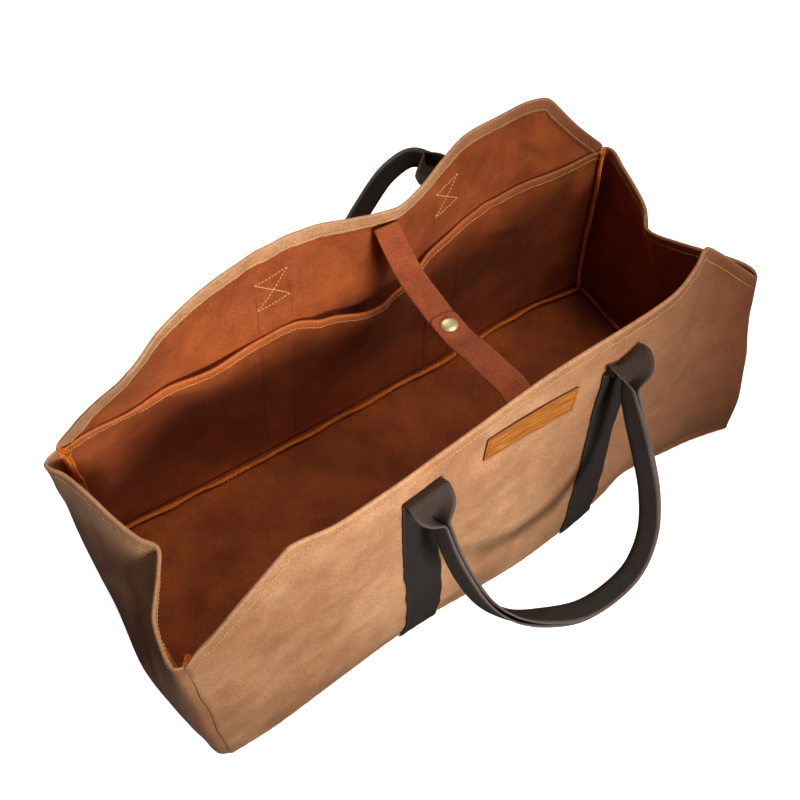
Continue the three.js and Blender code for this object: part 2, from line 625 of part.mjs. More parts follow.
// Whole handle: up one leg, over its hood, round the grip, over the other hood and down.
function handle(point, side, shift, rows, slope) {
  const spread = HANDLE_SPREAD / LENGTH;
  const middleAt = (2 * shift) / LENGTH;
  const leftLeg = legRings(point, side, middleAt - spread);
  const rightLeg = legRings(point, side, middleAt + spread);
  const middleOf = (ring) => {
    const sum = new THREE.Vector3();
    for (const point of ring) sum.add(point);
    return sum.divideScalar(ring.length);
  };
  const topOf = (leg) => middleOf(leg[LEG_STEPS]);
  const widthOf = (leg) => leg[LEG_STEPS][5].clone().sub(leg[LEG_STEPS][0]).normalize();
  const left = topOf(leftLeg);
  const right = topOf(rightLeg);
  const grip = rows.map(({ across, away, down }) => {
    const start = left.clone().lerp(right, (across + 1) / 2);
    start.x = (left.x + right.x) / 2 + (across * HANDLE_SPREAD) / 2;
    start.y += side * away * GRIP_REACH;
    start.z -= down * GRIP_REACH;
    return start;
  });
  const crown = (leg) => {
    const top = topOf(leg);
    const up = top.clone().sub(middleOf(leg[LEG_STEPS - 1])).normalize();
    const out = leg[LEG_STEPS][2].clone().sub(leg[LEG_STEPS][9]).normalize();
    return CROWN_ROWS.map((row) => top.clone()
      .addScaledVector(up, row.up * WEBBING_THICK)
      .addScaledVector(out, row.out * WEBBING_THICK));
  };
  const route = [...crown(leftLeg), ...grip, ...crown(rightLeg).reverse()];
  const curve = new THREE.CatmullRomCurve3(route, false, "centripetal");
  const rings = [...leftLeg];
  const rightward = new THREE.Vector3(1, 0, 0);
  const angle = THREE.MathUtils.degToRad(slope);
  const plane = new THREE.Vector3(0, side * Math.cos(angle), -Math.sin(angle)).cross(rightward);
  const nearEnd = (HOOD_LENGTH + FOLD_LENGTH) / curve.getLength();
  for (const share of spacedEnds(GRIP_STEPS, HOOD_STEPS, nearEnd)) {
    const middle = curve.getPointAt(share);
    const along = curve.getTangentAt(share);
    const near = Math.min(share, 1 - share) * curve.getLength();
    const folded = THREE.MathUtils.smoothstep(near, HOOD_LENGTH, HOOD_LENGTH + FOLD_LENGTH);
    const flat = share < 0.5 ? widthOf(leftLeg) : widthOf(rightLeg).negate();
    const across = flat.lerp(plane.clone().cross(along), folded);
    across.addScaledVector(along, -across.dot(along)).normalize();
    const turn = THREE.MathUtils.degToRad(gripTurn(rows, share)) * folded;
    across.applyAxisAngle(along, turn);
    const face = along.clone().cross(across).multiplyScalar(side);
    rings.push(webbingRing({
      middle,
      across,
      face,
      width: THREE.MathUtils.lerp(WEBBING, GRIP_WIDTH, folded),
      thick: THREE.MathUtils.lerp(WEBBING_THICK, GRIP_THICK, folded),
    }));
  }
  const turned = rightLeg.map((ring) => {
    const half = ring.length / 2;
    return [...ring.slice(0, half).reverse(), ...ring.slice(half).reverse()];
  });
  rings.push(...turned.reverse());
  return loft(rings);
}

// Roll of the grip at a share of its length.
function gripTurn(rows, share) {
  const places = rows.map((row, i) => (i + 0.5) / rows.length);
  return smoothThrough(places, rows.map((row) => row.turn), share);
}

// Line of the closure strap. The start and end lie against the walls, under their hems.
function strapEnd(point, side, shift) {
  const end = point((2 * shift) / LENGTH, MID_HEIGHT - WALL_BASE - HEM - STRAP_THICK);
  end.y -= side * (CANVAS / 2 + STRAP_THICK + 4 * GAP);
  return end;
}

const strapCurve = new THREE.CatmullRomCurve3(STRAP_ROWS.map(({ at, below }) => {
  const place = strapEnd(backPoint, 1, STRAP_SHIFT).lerp(strapEnd(frontPoint, -1, 0), at);
  place.z = MID_HEIGHT * (1 - below);
  return place;
}), false, "centripetal");

// Middle, width direction and face direction of the strap at a share of its length.
function strapFrame(share) {
  const middle = strapCurve.getPointAt(share);
  const along = strapCurve.getTangentAt(share);
  const across = new THREE.Vector3(1, 0, 0);
  across.addScaledVector(along, -across.dot(along)).normalize();
  const face = along.clone().cross(across).negate();
  return { middle, across, face };
}

// One half of the strap, above or below the middle line, with cut corners at its free end.
function strapHalf(from, to, free, level) {
  const long = strapCurve.getLength();
  const rings = [];
  const places = spaced(STRAP_STEPS, [TAB_CORNER / 2, TAB_CORNER].map((cut) => {
    const share = cut / (long * Math.abs(to - from));
    return free === to ? 1 - share : share;
  }));
  for (const t of places) {
    const share = from + (to - from) * t;
    const { middle, across, face } = strapFrame(share);
    const cut = Math.max(TAB_CORNER - long * Math.abs(free - share), 0);
    rings.push(webbingRing({
      middle: middle.addScaledVector(face, (level * (STRAP_THICK + GAP)) / 2),
      across,
      face,
      width: STRAP - 2 * cut,
      thick: STRAP_THICK,
    }));
  }
  return loft(rings);
}

const strapReach = STRAP_OVERLAP / strapCurve.getLength();
function strapBack() {
  return strapHalf(0, SNAP_AT + strapReach, SNAP_AT + strapReach, -1);
}

function strapFront() {
  return strapHalf(SNAP_AT - strapReach, 1, SNAP_AT - strapReach, 1);
}

// Places a turned piece on the strap's line, off it by a distance along the strap's face.
function seatOnStrap(geometry, offset) {
  const { middle, face } = strapFrame(SNAP_AT);
  const turn = new THREE.Quaternion().setFromUnitVectors(new THREE.Vector3(0, 0, 1), face);
  geometry.applyQuaternion(turn);
  middle.addScaledVector(face, offset);
  geometry.translate(middle.x, middle.y, middle.z);
  return geometry;
}

// Domed brass cap on top of the strap, and the plain stud below it.
function snapCap() {
  const radius = SNAP_DIAMETER / 2;
  const profile = [new THREE.Vector2(0, 0), new THREE.Vector2(radius * 0.94, 0)];
  for (const share of [1, 0.86, 0.62, 0.34]) {
    const rise = Math.sqrt(1 - (share * 0.97) ** 2);
    profile.push(new THREE.Vector2(radius * share, 0.6 + (SNAP_DOME - 0.6) * rise));
  }
  profile.push(new THREE.Vector2(0, SNAP_DOME));
  const geometry = new THREE.LatheGeometry(profile, 20);
  geometry.rotateX(Math.PI / 2);
  return seatOnStrap(geometry, STRAP_THICK + 2.5 * GAP);
}

function snapStud() {
  const radius = STUD_DIAMETER / 2;
  const profile = [
    new THREE.Vector2(0, -STUD_HEIGHT),
    new THREE.Vector2(radius * 0.8, -STUD_HEIGHT),
    new THREE.Vector2(radius, -STUD_HEIGHT * 0.6),
    new THREE.Vector2(radius, 0),
    new THREE.Vector2(0, 0),
  ];
  const geometry = new THREE.LatheGeometry(profile, 16);
  geometry.rotateX(Math.PI / 2);
  return seatOnStrap(geometry, -STRAP_THICK - 2.5 * GAP);
}

// Leather patch that follows the front wall below the hem.
function leatherLabel() {
  const clear = CANVAS / 2 + GAP * 1.4;
  const middleHeight = MID_HEIGHT - WALL_BASE - LABEL_BELOW_RIM - LABEL_HEIGHT / 2;
  const tilt = THREE.MathUtils.degToRad(LABEL_TILT);
  const place = (s, t) => {
    const x = (s - 0.5) * LABEL_LENGTH;
    const z = (t - 0.5) * LABEL_HEIGHT;
    const along = LABEL_SHIFT + x * Math.cos(tilt) - z * Math.sin(tilt);
    const height = middleHeight + x * Math.sin(tilt) + z * Math.cos(tilt);
    return frontPoint(along / HALF, height);
  };
  const rings = spaced(10, []).map((s) => {
    const outer = [];
    const inner = [];
    for (const t of spaced(5, [])) {
      const normal = normalOf(place, s, t, 1);
      outer.push(place(s, t).addScaledVector(normal, clear + LABEL_THICK));
      inner.push(place(s, t).addScaledVector(normal, clear));
    }
    return outer.concat(inner.reverse());
  });
  return loft(rings);
}

// Assembly
const carrier = new THREE.Group();

function add(name, geometry, finish) {
  const mesh = new THREE.Mesh(geometry, new THREE.MeshStandardMaterial(finish));
  mesh.name = name;
  carrier.add(mesh);
}

add("bottom_panel", bottomPanel(), FINISH.canvas);
add("front_panel", longWall(frontPoint, -1), FINISH.canvas);
add("back_panel", longWall(backPoint, 1), FINISH.canvas);
add("left_end_panel", endWall(LEFT_ROWS, -1), FINISH.endCanvas);
add("right_end_panel", endWall(RIGHT_ROWS, 1), FINISH.endCanvas);
add("pocket_panel", pocketPanel(), FINISH.lining);

// Bound seams along the bottom
const seamReach = 1 - (2 * 2 * SEAM_WIDTH) / LENGTH;
const endSeamReach = 0.5 - (2 * SEAM_WIDTH) / WIDTH;
const backward = new THREE.Vector3(0, 1, 0);
add("seam_front", bottomSeam((at) => frontPoint(at, 0), () => backward.clone(), seamReach),
  FINISH.binding);
add("seam_back", bottomSeam((at) => backPoint(at, 0), () => backward.clone().negate(), seamReach),
  FINISH.binding);
const rightward = new THREE.Vector3(1, 0, 0);
add("seam_left", bottomSeam((s) => endPoint(LEFT_ROWS, -1, 0.5 + s, 0), () => rightward.clone(),
  endSeamReach), FINISH.binding);
add("seam_right", bottomSeam((s) => endPoint(RIGHT_ROWS, 1, 0.5 + s, 0),
  () => rightward.clone().negate(), endSeamReach), FINISH.binding);

// Bound seams in the corners
const plainStand = Math.SQRT2 * (CANVAS / 2 + 4 * GAP) + SEAM_THICK / 2;
const pocketStand = plainStand + CANVAS + GAP;
add("corner_seam_front_left", cornerSeam(-1, -1, plainStand), FINISH.binding);
add("corner_seam_back_left", cornerSeam(-1, 1, pocketStand), FINISH.binding);
add("corner_seam_front_right", cornerSeam(1, -1, plainStand), FINISH.binding);
add("corner_seam_back_right", cornerSeam(1, 1, pocketStand), FINISH.binding);

add("front_handle", handle(frontPoint, -1, 0, FRONT_GRIP, FRONT_GRIP_SLOPE), FINISH.webbing);
add("back_handle", handle(backPoint, 1, BACK_SHIFT, BACK_GRIP, BACK_GRIP_SLOPE), FINISH.webbing);
add("strap_back", strapBack(), FINISH.strap);
add("strap_front", strapFront(), FINISH.strap);
add("snap_cap", snapCap(), FINISH.brass);
add("snap_stud", snapStud(), FINISH.brass);
add("leather_label", leatherLabel(), FINISH.leather);

export default carrier;
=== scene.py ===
import math

import bpy
import numpy as np
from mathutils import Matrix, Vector


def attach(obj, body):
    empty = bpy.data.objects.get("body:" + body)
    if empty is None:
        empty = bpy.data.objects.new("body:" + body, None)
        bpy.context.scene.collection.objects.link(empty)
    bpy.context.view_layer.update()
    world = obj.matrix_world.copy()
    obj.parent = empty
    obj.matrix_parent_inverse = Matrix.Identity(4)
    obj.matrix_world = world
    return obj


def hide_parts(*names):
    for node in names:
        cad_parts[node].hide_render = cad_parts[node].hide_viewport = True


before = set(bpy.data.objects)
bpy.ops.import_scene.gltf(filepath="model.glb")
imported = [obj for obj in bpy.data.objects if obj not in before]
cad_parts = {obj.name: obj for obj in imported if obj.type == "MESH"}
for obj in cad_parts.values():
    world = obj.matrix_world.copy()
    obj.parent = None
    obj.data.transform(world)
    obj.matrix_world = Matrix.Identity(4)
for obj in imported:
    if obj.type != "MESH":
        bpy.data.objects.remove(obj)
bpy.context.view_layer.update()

# Long walls
# Two equal panels of waxed canvas, tan outside and rust inside, cut with sloping shoulders.
# The top edge of each is turned in as a hem. Yellow thread holds it and runs along the foot.

LENGTH = 0.610
WIDTH = 0.232
MID_HEIGHT = 0.300
END_HEIGHT = 0.216
SHOULDER = 0.082
CANVAS = 0.0018
HEM = 0.013
HEM_STITCH = 0.0103
HEM_BEHIND = 0.0017
FOOT_STITCH = 0.0062
GAP = 0.0003
THREAD_CLEAR = 0.0001
ROLL_HEIGHT = 0.006
ROLL_DEPTH = 0.0035
HALF = LENGTH / 2
WALL_BASE = CANVAS + GAP + CANVAS / 2
WALL_END = 1 - CANVAS / LENGTH

# Shape of each wall. The first number is the place along it, from -1 at the left to 1.
# Then come four outward pushes from foot to rim as shares of WIDTH, the slide of the rim
# as a share of LENGTH, and the lift of the foot and drop of the rim as shares of MID_HEIGHT.
FRONT_WALL = np.array([
    (-1, 0.022, 0.025, -0.004, -0.013, -0.004, 0, 0),
    (-0.86, 0.029, 0.042, 0.004, -0.009, 0.01, 0, 0),
    (-0.73, 0.02, 0.047, 0.009, 0, 0.027, 0, 0),
    (-0.58, 0.008, 0.047, 0.013, 0.015, 0.014, 0, 0.006),
    (-0.39, -0.001, 0.047, 0.009, 0.002, 0.004, 0, 0),
    (-0.26, 0.003, 0.042, 0.004, -0.013, 0.004, 0, 0),
    (-0.08, 0.021, 0.038, 0.002, -0.026, 0.01, 0, 0),
    (0.1, 0.03, 0.034, -0.002, -0.039, 0.019, 0, 0),
    (0.32, 0.014, 0.021, -0.013, -0.043, 0.03, 0.002, 0),
    (0.45, -0.008, 0.014, -0.022, -0.048, 0.026, 0.018, 0),
    (0.54, -0.03, 0.004, -0.032, -0.065, 0.019, 0.035, 0),
    (0.64, -0.022, 0.004, -0.045, -0.108, 0.013, 0.036, 0),
    (0.73, -0.006, 0.006, -0.064, -0.166, 0.008, 0.028, 0.01),
    (0.83, 0.008, 0.012, -0.076, -0.18, 0.004, 0.014, 0),
    (0.93, 0.034, 0.028, -0.084, -0.16, 0, 0.004, 0),
    (1, 0.059, 0.042, -0.084, -0.15, 0, 0, 0),

])
BACK_WALL = np.array([
    (-1, 0.1, 0.075, -0.01, -0.05, 0.006, 0, 0),
    (-0.87, 0.102, 0.09, 0.009, -0.115, 0, 0, 0),
    (-0.73, 0.092, 0.088, 0.034, -0.118, -0.012, 0, 0.03),
    (-0.62, 0.08, 0.08, 0.032, -0.04, -0.002, 0, 0.008),
    (-0.48, 0.07, 0.068, 0.015, 0.035, 0.014, 0, 0),
    (-0.34, 0.06, 0.052, -0.009, 0.069, 0.036, 0, 0),
    (-0.17, 0.052, 0.047, -0.009, 0.062, 0.034, 0, 0),
    (-0.05, 0.047, 0.043, 0, 0.013, 0.028, 0, 0.002),
    (0.07, 0.045, 0.041, -0.004, -0.034, 0.028, 0, 0.005),
    (0.17, 0.041, 0.037, -0.009, -0.006, 0.026, 0, 0.002),
    (0.3, 0.035, 0.034, 0.002, 0.065, 0.022, 0, 0),
    (0.42, 0.037, 0.043, 0.034, 0.128, 0.022, 0, 0.002),
    (0.56, 0.047, 0.052, 0.055, 0.142, 0.022, 0, 0.004),
    (0.66, 0.05, 0.054, 0.055, 0.14, 0.022, 0, 0.004),
    (0.73, 0.047, 0.052, 0.047, 0.108, 0.022, 0, 0.004),
    (0.86, 0.026, 0.039, 0.041, 0.03, 0.008, 0, 0),
    (1, 0.004, 0.013, 0.022, 0.05, 0, 0, 0),

])
WALL_HEIGHTS = (0, 0.23, 0.63, 1)

# Folds and dents in each wall, in millimetres: x, height, half length, half width,
# turn in degrees from level, and how far the cloth is pushed outward.
FRONT_FOLDS = (
    (250, 58, 34, 9, -62, 1.6),
    (286, 60, 26, 6, -70, -1.2),
    (236, 140, 40, 10, -50, 1.3),
    (265, 185, 34, 14, -40, -1.8),
    (170, 262, 30, 9, -52, 1.0),
    (226, 250, 26, 9, -40, -1.2),
    (-160, 103, 24, 3.5, 8, -0.7),
    (-158, 112, 20, 6, 14, 0.9),
    (17, 212, 16, 3, 25, -0.5),
    (-33, 213, 34, 22, 10, 1.6),
    (-235, 120, 46, 12, 60, -1.3),
    (-262, 70, 40, 9, 78, 1.2),
    (-110, 60, 70, 16, 4, -1.2),
    (30, 90, 60, 14, -10, 1.1),
    (120, 70, 50, 12, 18, -1.2),
    (-20, 40, 46, 9, -6, 1.1),
    (205, 15, 90, 3.5, 2, -1.9),
    (215, 7, 80, 5, 2, 1.6),
    (282, 150, 90, 4, 84, -1.1),
    (-60, 150, 60, 20, -70, -2.2),
    (70, 130, 70, 16, 74, 1.9),
)
BACK_FOLDS = (
    (5, 240, 44, 8, 84, 2.6),
    (15, 165, 52, 9, 78, 2.2),
    (-30, 120, 40, 12, 82, -1.6),
    (144, 246, 24, 5, 40, 1.3),
    (205, 244, 26, 5, -42, 1.3),
    (160, 205, 26, 5, -36, 1.2),
    (190, 225, 20, 6, 10, -1.2),
    (242, 130, 34, 7, 62, 1.4),
    (175, 170, 34, 7, -24, -1.3),
    (-268, 223, 30, 8, -12, -1.4),
    (-233, 210, 34, 7, -16, -1.6),
    (-190, 196, 34, 8, -24, -1.5),
    (-120, 275, 34, 8, 60, 1.4),
    (-174, 243, 28, 7, 55, 1.3),
    (-82, 266, 30, 11, 86, 1.5),
    (-61, 190, 40, 9, 80, -1.2),
)


def through(places, values, place):
    """Smooth value between listed places and values."""
    places = np.asarray(places, float)
    place = np.asarray(place, float)
    values = np.asarray(values, float)
    if values.ndim == 1:
        values = values.reshape((-1,) + (1,) * place.ndim)
    values = np.broadcast_to(values, (len(places),) + place.shape)
    last = len(places) - 1
    i = np.clip(np.searchsorted(places, place) - 1, 0, last - 1)
    before = np.maximum(i - 1, 0)
    after = np.minimum(i + 2, last)

    def pick(k):
        return np.take_along_axis(values, k[None], 0)[0]

    span = places[i + 1] - places[i]
    t = np.clip((place - places[i]) / span, 0, 1)
    leave = (pick(i + 1) - pick(before)) / (places[i + 1] - places[before])
    arrive = (pick(after) - pick(i)) / (places[after] - places[i])
    return (
        pick(i) * (2 * t**3 - 3 * t**2 + 1)
        + leave * span * (t**3 - 2 * t**2 + t)
        + pick(i + 1) * (3 * t**2 - 2 * t**3)
        + arrive * span * (t**3 - t**2)
    )


def column(rows, k, at):
    return through(rows[:, 0], rows[:, k], at)


def eased(value, low, high):
    t = np.clip((value - low) / (high - low), 0, 1)
    return t * t * (3 - 2 * t)


def plain_wall(rows, side, at, height):
    """Long wall before its small folds, and without the turned corner."""
    at, height = np.broadcast_arrays(np.asarray(at, float), np.asarray(height, float))
    share = height / MID_HEIGHT
    pushes = np.array([column(rows, k, at) for k in (1, 2, 3, 4)])
    roll = ROLL_DEPTH * np.clip(1 - height / ROLL_HEIGHT, 0, 1) ** 2
    outward = WIDTH * through(WALL_HEIGHTS, pushes, share) - roll
    lift = MID_HEIGHT * column(rows, 6, at) * (1 - share) ** 2
    drop = MID_HEIGHT * column(rows, 7, at) * share**2
    x = at * HALF + LENGTH * column(rows, 5, at) * share**3
    y = side * (WIDTH / 2 + outward)
    return np.stack([x, y, WALL_BASE + height + lift - drop], -1)


def soft_waves(a, b, seed, count=12, low=0.05, high=0.2, size=0.0011):
    """Gentle random swell of slack cloth, in metres."""
    dice = np.random.default_rng(seed)
    total = np.zeros(np.broadcast(a, b).shape)
    for _ in range(count):
        long = dice.uniform(low, high)
        turn = dice.uniform(0, math.pi)
        start = dice.uniform(0, 2 * math.pi)
        wave = np.sin((a * math.cos(turn) + b * math.sin(turn)) * 2 * math.pi / long + start)
        total = total + size * (long / high) ** 1.3 * wave / math.sqrt(count / 3)
    return total


def listed_folds(folds, a, b):
    """Outward push of the listed folds, in metres."""
    total = np.zeros(np.broadcast(a, b).shape)
    for x, z, long, wide, turn, push in folds:
        c, s = math.cos(math.radians(turn)), math.sin(math.radians(turn))
        u = ((a * 1000 - x) * c + (b * 1000 - z) * s) / long
        v = (-(a * 1000 - x) * s + (b * 1000 - z) * c) / wide
        total = total + push / 1000 * np.exp(-u * u - v * v)
    return total


def seam_pucker(along, away, seed):
    """Small gathers beside a row of stitches; away is the distance from it."""
    phase = soft_waves(along, along * 0, seed, low=0.03, high=0.11, size=2.2)
    wave = np.sin(along * 2 * math.pi / 0.0125 + phase)
    return 0.00022 * wave * np.exp(-((away / 0.006) ** 2))


CORNER_TURN = 0.0030
CORNER_FROM = 0.0007 + 1.2732 * CORNER_TURN
CORNER_REACH = 0.016


def corner_turn(from_end):
    """How a wall's end turns into the diagonal corner seam: along it, and inward."""
    bend = np.clip(CORNER_FROM - from_end, 0, None) / CORNER_FROM
    angle = bend * math.pi / 4
    along = CORNER_FROM - CORNER_TURN * np.sin(angle) / (math.pi / 4)
    along = np.where(from_end < CORNER_FROM, along - from_end, 0)
    inward = CORNER_TURN * (1 - np.cos(angle)) / (math.pi / 4)
    return along, inward


def corner_wander(side_x, side_y, height):
    """How far the uneven corner seam strays from a straight line."""
    stray = soft_waves(height, height * 0, 60 + 2 * side_x + side_y, low=0.03, high=0.09,
                       size=0.0008)
    return stray * eased(height, 0, 0.02) * eased(END_HEIGHT - WALL_BASE - height, 0, 0.014)


def top_edge(at):
    """Height of a long wall's top edge above its foot."""
    from_end = HALF * (1 - np.abs(at))
    soft = np.where(at > 0, 0.035, 0.012)
    share = -soft * np.logaddexp(-from_end / SHOULDER / soft, -1 / soft)
    return END_HEIGHT + (MID_HEIGHT - END_HEIGHT) * share - WALL_BASE


def hem_depth(at):
    """The hem keeps its width on the sloping shoulders, so it is taller there."""
    slope = math.hypot(MID_HEIGHT - END_HEIGHT, SHOULDER) / SHOULDER
    on_slope = eased(HALF * (1 - np.abs(at)), SHOULDER + 0.004, SHOULDER - 0.004)
    return HEM * (1 + (slope - 1) * on_slope)


def slack_wall(rows, side, at, height):
    at, height = np.broadcast_arrays(np.asarray(at, float), np.asarray(height, float))
    point = plain_wall(rows, side, at, height)
    x = at * HALF
    from_end = HALF * (WALL_END - np.abs(at))
    folds = FRONT_FOLDS if side < 0 else BACK_FOLDS
    seed = 11 if side < 0 else 23
    push = listed_folds(folds, x, height) * (1 if side < 0 else 1.5)
    push = push + soft_waves(x, height, seed)
    from_foot = eased(height, 0.0, 0.016)
    push = push * eased(from_end, 0.0, 0.03) * from_foot
    hem_line = top_edge(at) - hem_depth(at)
    push = push + seam_pucker(x, height - hem_line, seed + 1)
    push = push + seam_pucker(x, height - 0.004, seed + 2) * 0.5
    along, inward = corner_turn(from_end)
    beside = np.exp(-((from_end / CORNER_REACH) ** 2))
    along = along + beside * np.where(at > 0, corner_wander(1, side, height),
                                      corner_wander(-1, side, height))
    point[..., 0] -= np.sign(at) * along
    point[..., 1] += side * (push - inward)
    return point


def stood_off(surface, a, b, off, side, step_a, step_b):
    """Point of a surface, moved off it along its outward normal."""
    over_a = surface(a + step_a, b) - surface(a - step_a, b)
    over_b = surface(a, b + step_b) - surface(a, b - step_b)
    normal = np.cross(over_a, over_b) * -side
    normal /= np.linalg.norm(normal, axis=-1, keepdims=True)
    return surface(a, b) + normal * np.asarray(off)[..., None], normal


def front_at(at, height, off=0.0):
    return stood_off(
        lambda a, h: slack_wall(FRONT_WALL, -1, a, h), at, height, off, -1, 0.002, 0.0008
    )


def back_at(at, height, off=0.0):
    return stood_off(
        lambda a, h: slack_wall(BACK_WALL, 1, a, h), at, height, off, 1, 0.002, 0.0008
    )


def built(name, points, faces, uv=None, marks=None, smooth=True):
    """Mesh object from arrays, turned outward, with a UV in metres and named marks."""
    points = np.asarray(points, float)
    mesh = bpy.data.meshes.new(name)
    mesh.from_pydata(points.tolist(), [], faces)
    mesh.calc_loop_triangles()
    corner = np.empty(len(mesh.loop_triangles) * 3, int)
    mesh.loop_triangles.foreach_get("vertices", corner)
    a, b, c = points[corner.reshape(-1, 3)].transpose(1, 0, 2)
    volume = float((a * np.cross(b, c)).sum())
    if volume < 0:
        mesh.flip_normals()
    if smooth:
        mesh.polygons.foreach_set("use_smooth", [True] * len(mesh.polygons))
    loops = np.empty(len(mesh.loops), int)
    mesh.loops.foreach_get("vertex_index", loops)
    if uv is not None:
        layer = mesh.uv_layers.new(name="cloth")
        layer.data.foreach_set("uv", np.asarray(uv, float)[loops].ravel())
    for mark, values in (marks or {}).items():
        field = mesh.attributes.new(mark, "FLOAT", "POINT")
        field.data.foreach_set("value", np.asarray(values, float).ravel())
    mesh.update()
    thing = bpy.data.objects.new(name, mesh)
    bpy.context.scene.collection.objects.link(thing)
    return thing


def loop_faces(rows, columns):
    """Quads of a closed loop of rows swept over columns, with a cap at each end."""
    i = np.arange(rows)
    j = np.arange(columns - 1)
    a = i[:, None] * columns + j[None, :]
    b = ((i + 1) % rows)[:, None] * columns + j[None, :]
    quads = np.stack([a, a + 1, b + 1, b], -1).reshape(-1, 4).tolist()
    first = (i * columns)[::-1].tolist()
    last = (i * columns + columns - 1).tolist()
    return quads + [first, last]


def cloth_sheet(name, place, columns, tops, hems, foot, extra=0.0016, bands=62, wide=HALF):
    """Cloth with a turned-in hem, as one closed skin.

    place gives points and normals for a column, a height and an offset. tops and hems
    are the height and hem depth at each column, and foot lists the heights by the seam.
    extra is how much the turned-in layer adds, and wide is the length of one column unit.
    """
    half = CANVAS / 2
    radius = (CANVAS + extra) / 2
    below = np.array([
        radius, 0.0021, 0.0031, 0.0045, 0.006, 0.0074, 0.0086, 0.0094, 0.0099, HEM_STITCH,
        0.0107, 0.0112, 0.0119, 0.0126, 0.01295, 0.0131, 0.0138, 0.0152, 0.0174, 0.020,
    ]) / HEM
    tops, hems = np.broadcast_arrays(tops, hems)
    near_end = np.minimum(columns - columns[0], columns[-1] - columns)
    thick = extra * eased(near_end * wide, 0.003, 0.012)
    rows_h, rows_o, rows_in, rows_wear = [], [], [], []

    def row(height, off, inside, wear):
        rows_h.append(np.broadcast_to(height, tops.shape))
        rows_o.append(np.broadcast_to(off, tops.shape))
        rows_in.append(np.full(tops.shape, float(inside)))
        rows_wear.append(np.broadcast_to(wear, tops.shape))

    body_top = tops - hems * below[-1]
    body = np.linspace(0, 1, bands + 1)[1:-1]
    start = foot[-1]
    stitch = HEM_STITCH / HEM
    for h in foot:
        row(h, half, 0, 0)
    for t in body:
        row(start + (body_top - start) * t, half, 0, 0)
    for d in below[::-1]:
        groove = -0.00035 * np.exp(-(((d - stitch) * HEM / 0.0009) ** 2))
        swell = 0.00025 * eased(d, 1.05, 0.55)
        row(tops - hems * d, half + groove + swell, 0, eased(d * HEM, 0.004, 0.0015) * 0.5)
    for angle in np.linspace(0, math.pi, 9)[1:-1]:
        centre = -thick / 2
        across = (half + thick / 2) * math.cos(angle)
        row(tops - radius * (1 - math.sin(angle)), centre + across, 0, 1)
    for d in below:
        if d < 1:
            groove = 0.0004 * np.exp(-(((d - stitch) * HEM / 0.0009) ** 2))
            round_off = 0.4 * thick * eased(d, 0.975, 1.0)
            row(tops - hems * d, -half - thick + groove + round_off, 0,
                eased(d * HEM, 0.004, 0.0015) * 0.5)
            last = d
    row(tops - hems * (last + 0.004), -half - 0.3 * thick, 0, 0)
    row(tops - hems * (last + 0.006), np.full(tops.shape, -half), 1, 0)
    for d in below:
        if d > last + 0.008:
            row(tops - hems * d, -half, 1, 0)
    for t in body[::-1]:
        row(start + (body_top - start) * t, -half, 1, 0)
    for h in foot[::-1]:
        row(h, -half, 1, 0)
    height, off = np.array(rows_h), np.array(rows_o)
    points, _ = place(np.broadcast_to(columns, height.shape), height, off)
    uv = np.stack([np.broadcast_to(columns, height.shape) * HALF, height], -1)
    marks = {"inside": np.array(rows_in), "wear": np.array(rows_wear)}
    faces = loop_faces(len(height), len(columns))
    return built(name, points.reshape(-1, 3), faces, uv.reshape(-1, 2), marks)


def colour(red, green, blue):
    """A paint colour given as on screen, 0 to 255."""
    def linear(v):
        v /= 255
        return v / 12.92 if v <= 0.04045 else ((v + 0.055) / 1.055) ** 2.4
    return (linear(red), linear(green), linear(blue), 1)


class Recipe:
    """A new material and short ways to add nodes to it."""

    def __init__(self, name):
        self.material = bpy.data.materials.new(name)
        self.material.use_nodes = True
        self.tree = self.material.node_tree
        self.shader = self.tree.nodes["Principled BSDF"]

    def node(self, kind, settings=None, **inputs):
        made = self.tree.nodes.new(kind)
        for key, value in (settings or {}).items():
            setattr(made, key, value)
        for key, value in inputs.items():
            self.feed(made.inputs[key.replace("_", " ")], value)
        return made

    def feed(self, socket, value):
        if isinstance(value, bpy.types.NodeSocket):
            self.tree.links.new(value, socket)
        else:
            socket.default_value = value

    def sums(self, operation, a, b=0.0, c=0.0):
        made = self.tree.nodes.new("ShaderNodeMath")
        made.operation = operation
        for socket, value in zip(made.inputs, (a, b, c)):
            self.feed(socket, value)
        return made.outputs[0]

    def spread(self, value, low, high, to_low, to_high):
        made = self.node("ShaderNodeMapRange", Value=value)
        for key, number in zip(("From Min", "From Max", "To Min", "To Max"),
                               (low, high, to_low, to_high)):
            self.feed(made.inputs[key], number)
        return made.outputs[0]

    def mixed(self, share, a, b, blend="MIX"):
        made = self.tree.nodes.new("ShaderNodeMix")
        made.data_type = "RGBA"
        made.blend_type = blend
        self.feed(made.inputs[0], share)
        self.feed(made.inputs[6], a)
        self.feed(made.inputs[7], b)
        return made.outputs[2]

    def noise(self, where, scale, detail=2.0, rough=0.5):
        made = self.node("ShaderNodeTexNoise", Vector=where, Scale=scale, Detail=detail,
                         Roughness=rough)
        return made.outputs["Fac"]

    def stretched(self, where, across, along):
        made = self.tree.nodes.new("ShaderNodeVectorMath")
        made.operation = "MULTIPLY"
        self.feed(made.inputs[0], where)
        self.feed(made.inputs[1], (across, along, 1.0))
        return made.outputs[0]

    def put(self, **inputs):
        for key, value in inputs.items():
            self.feed(self.shader.inputs[key.replace("_", " ")], value)


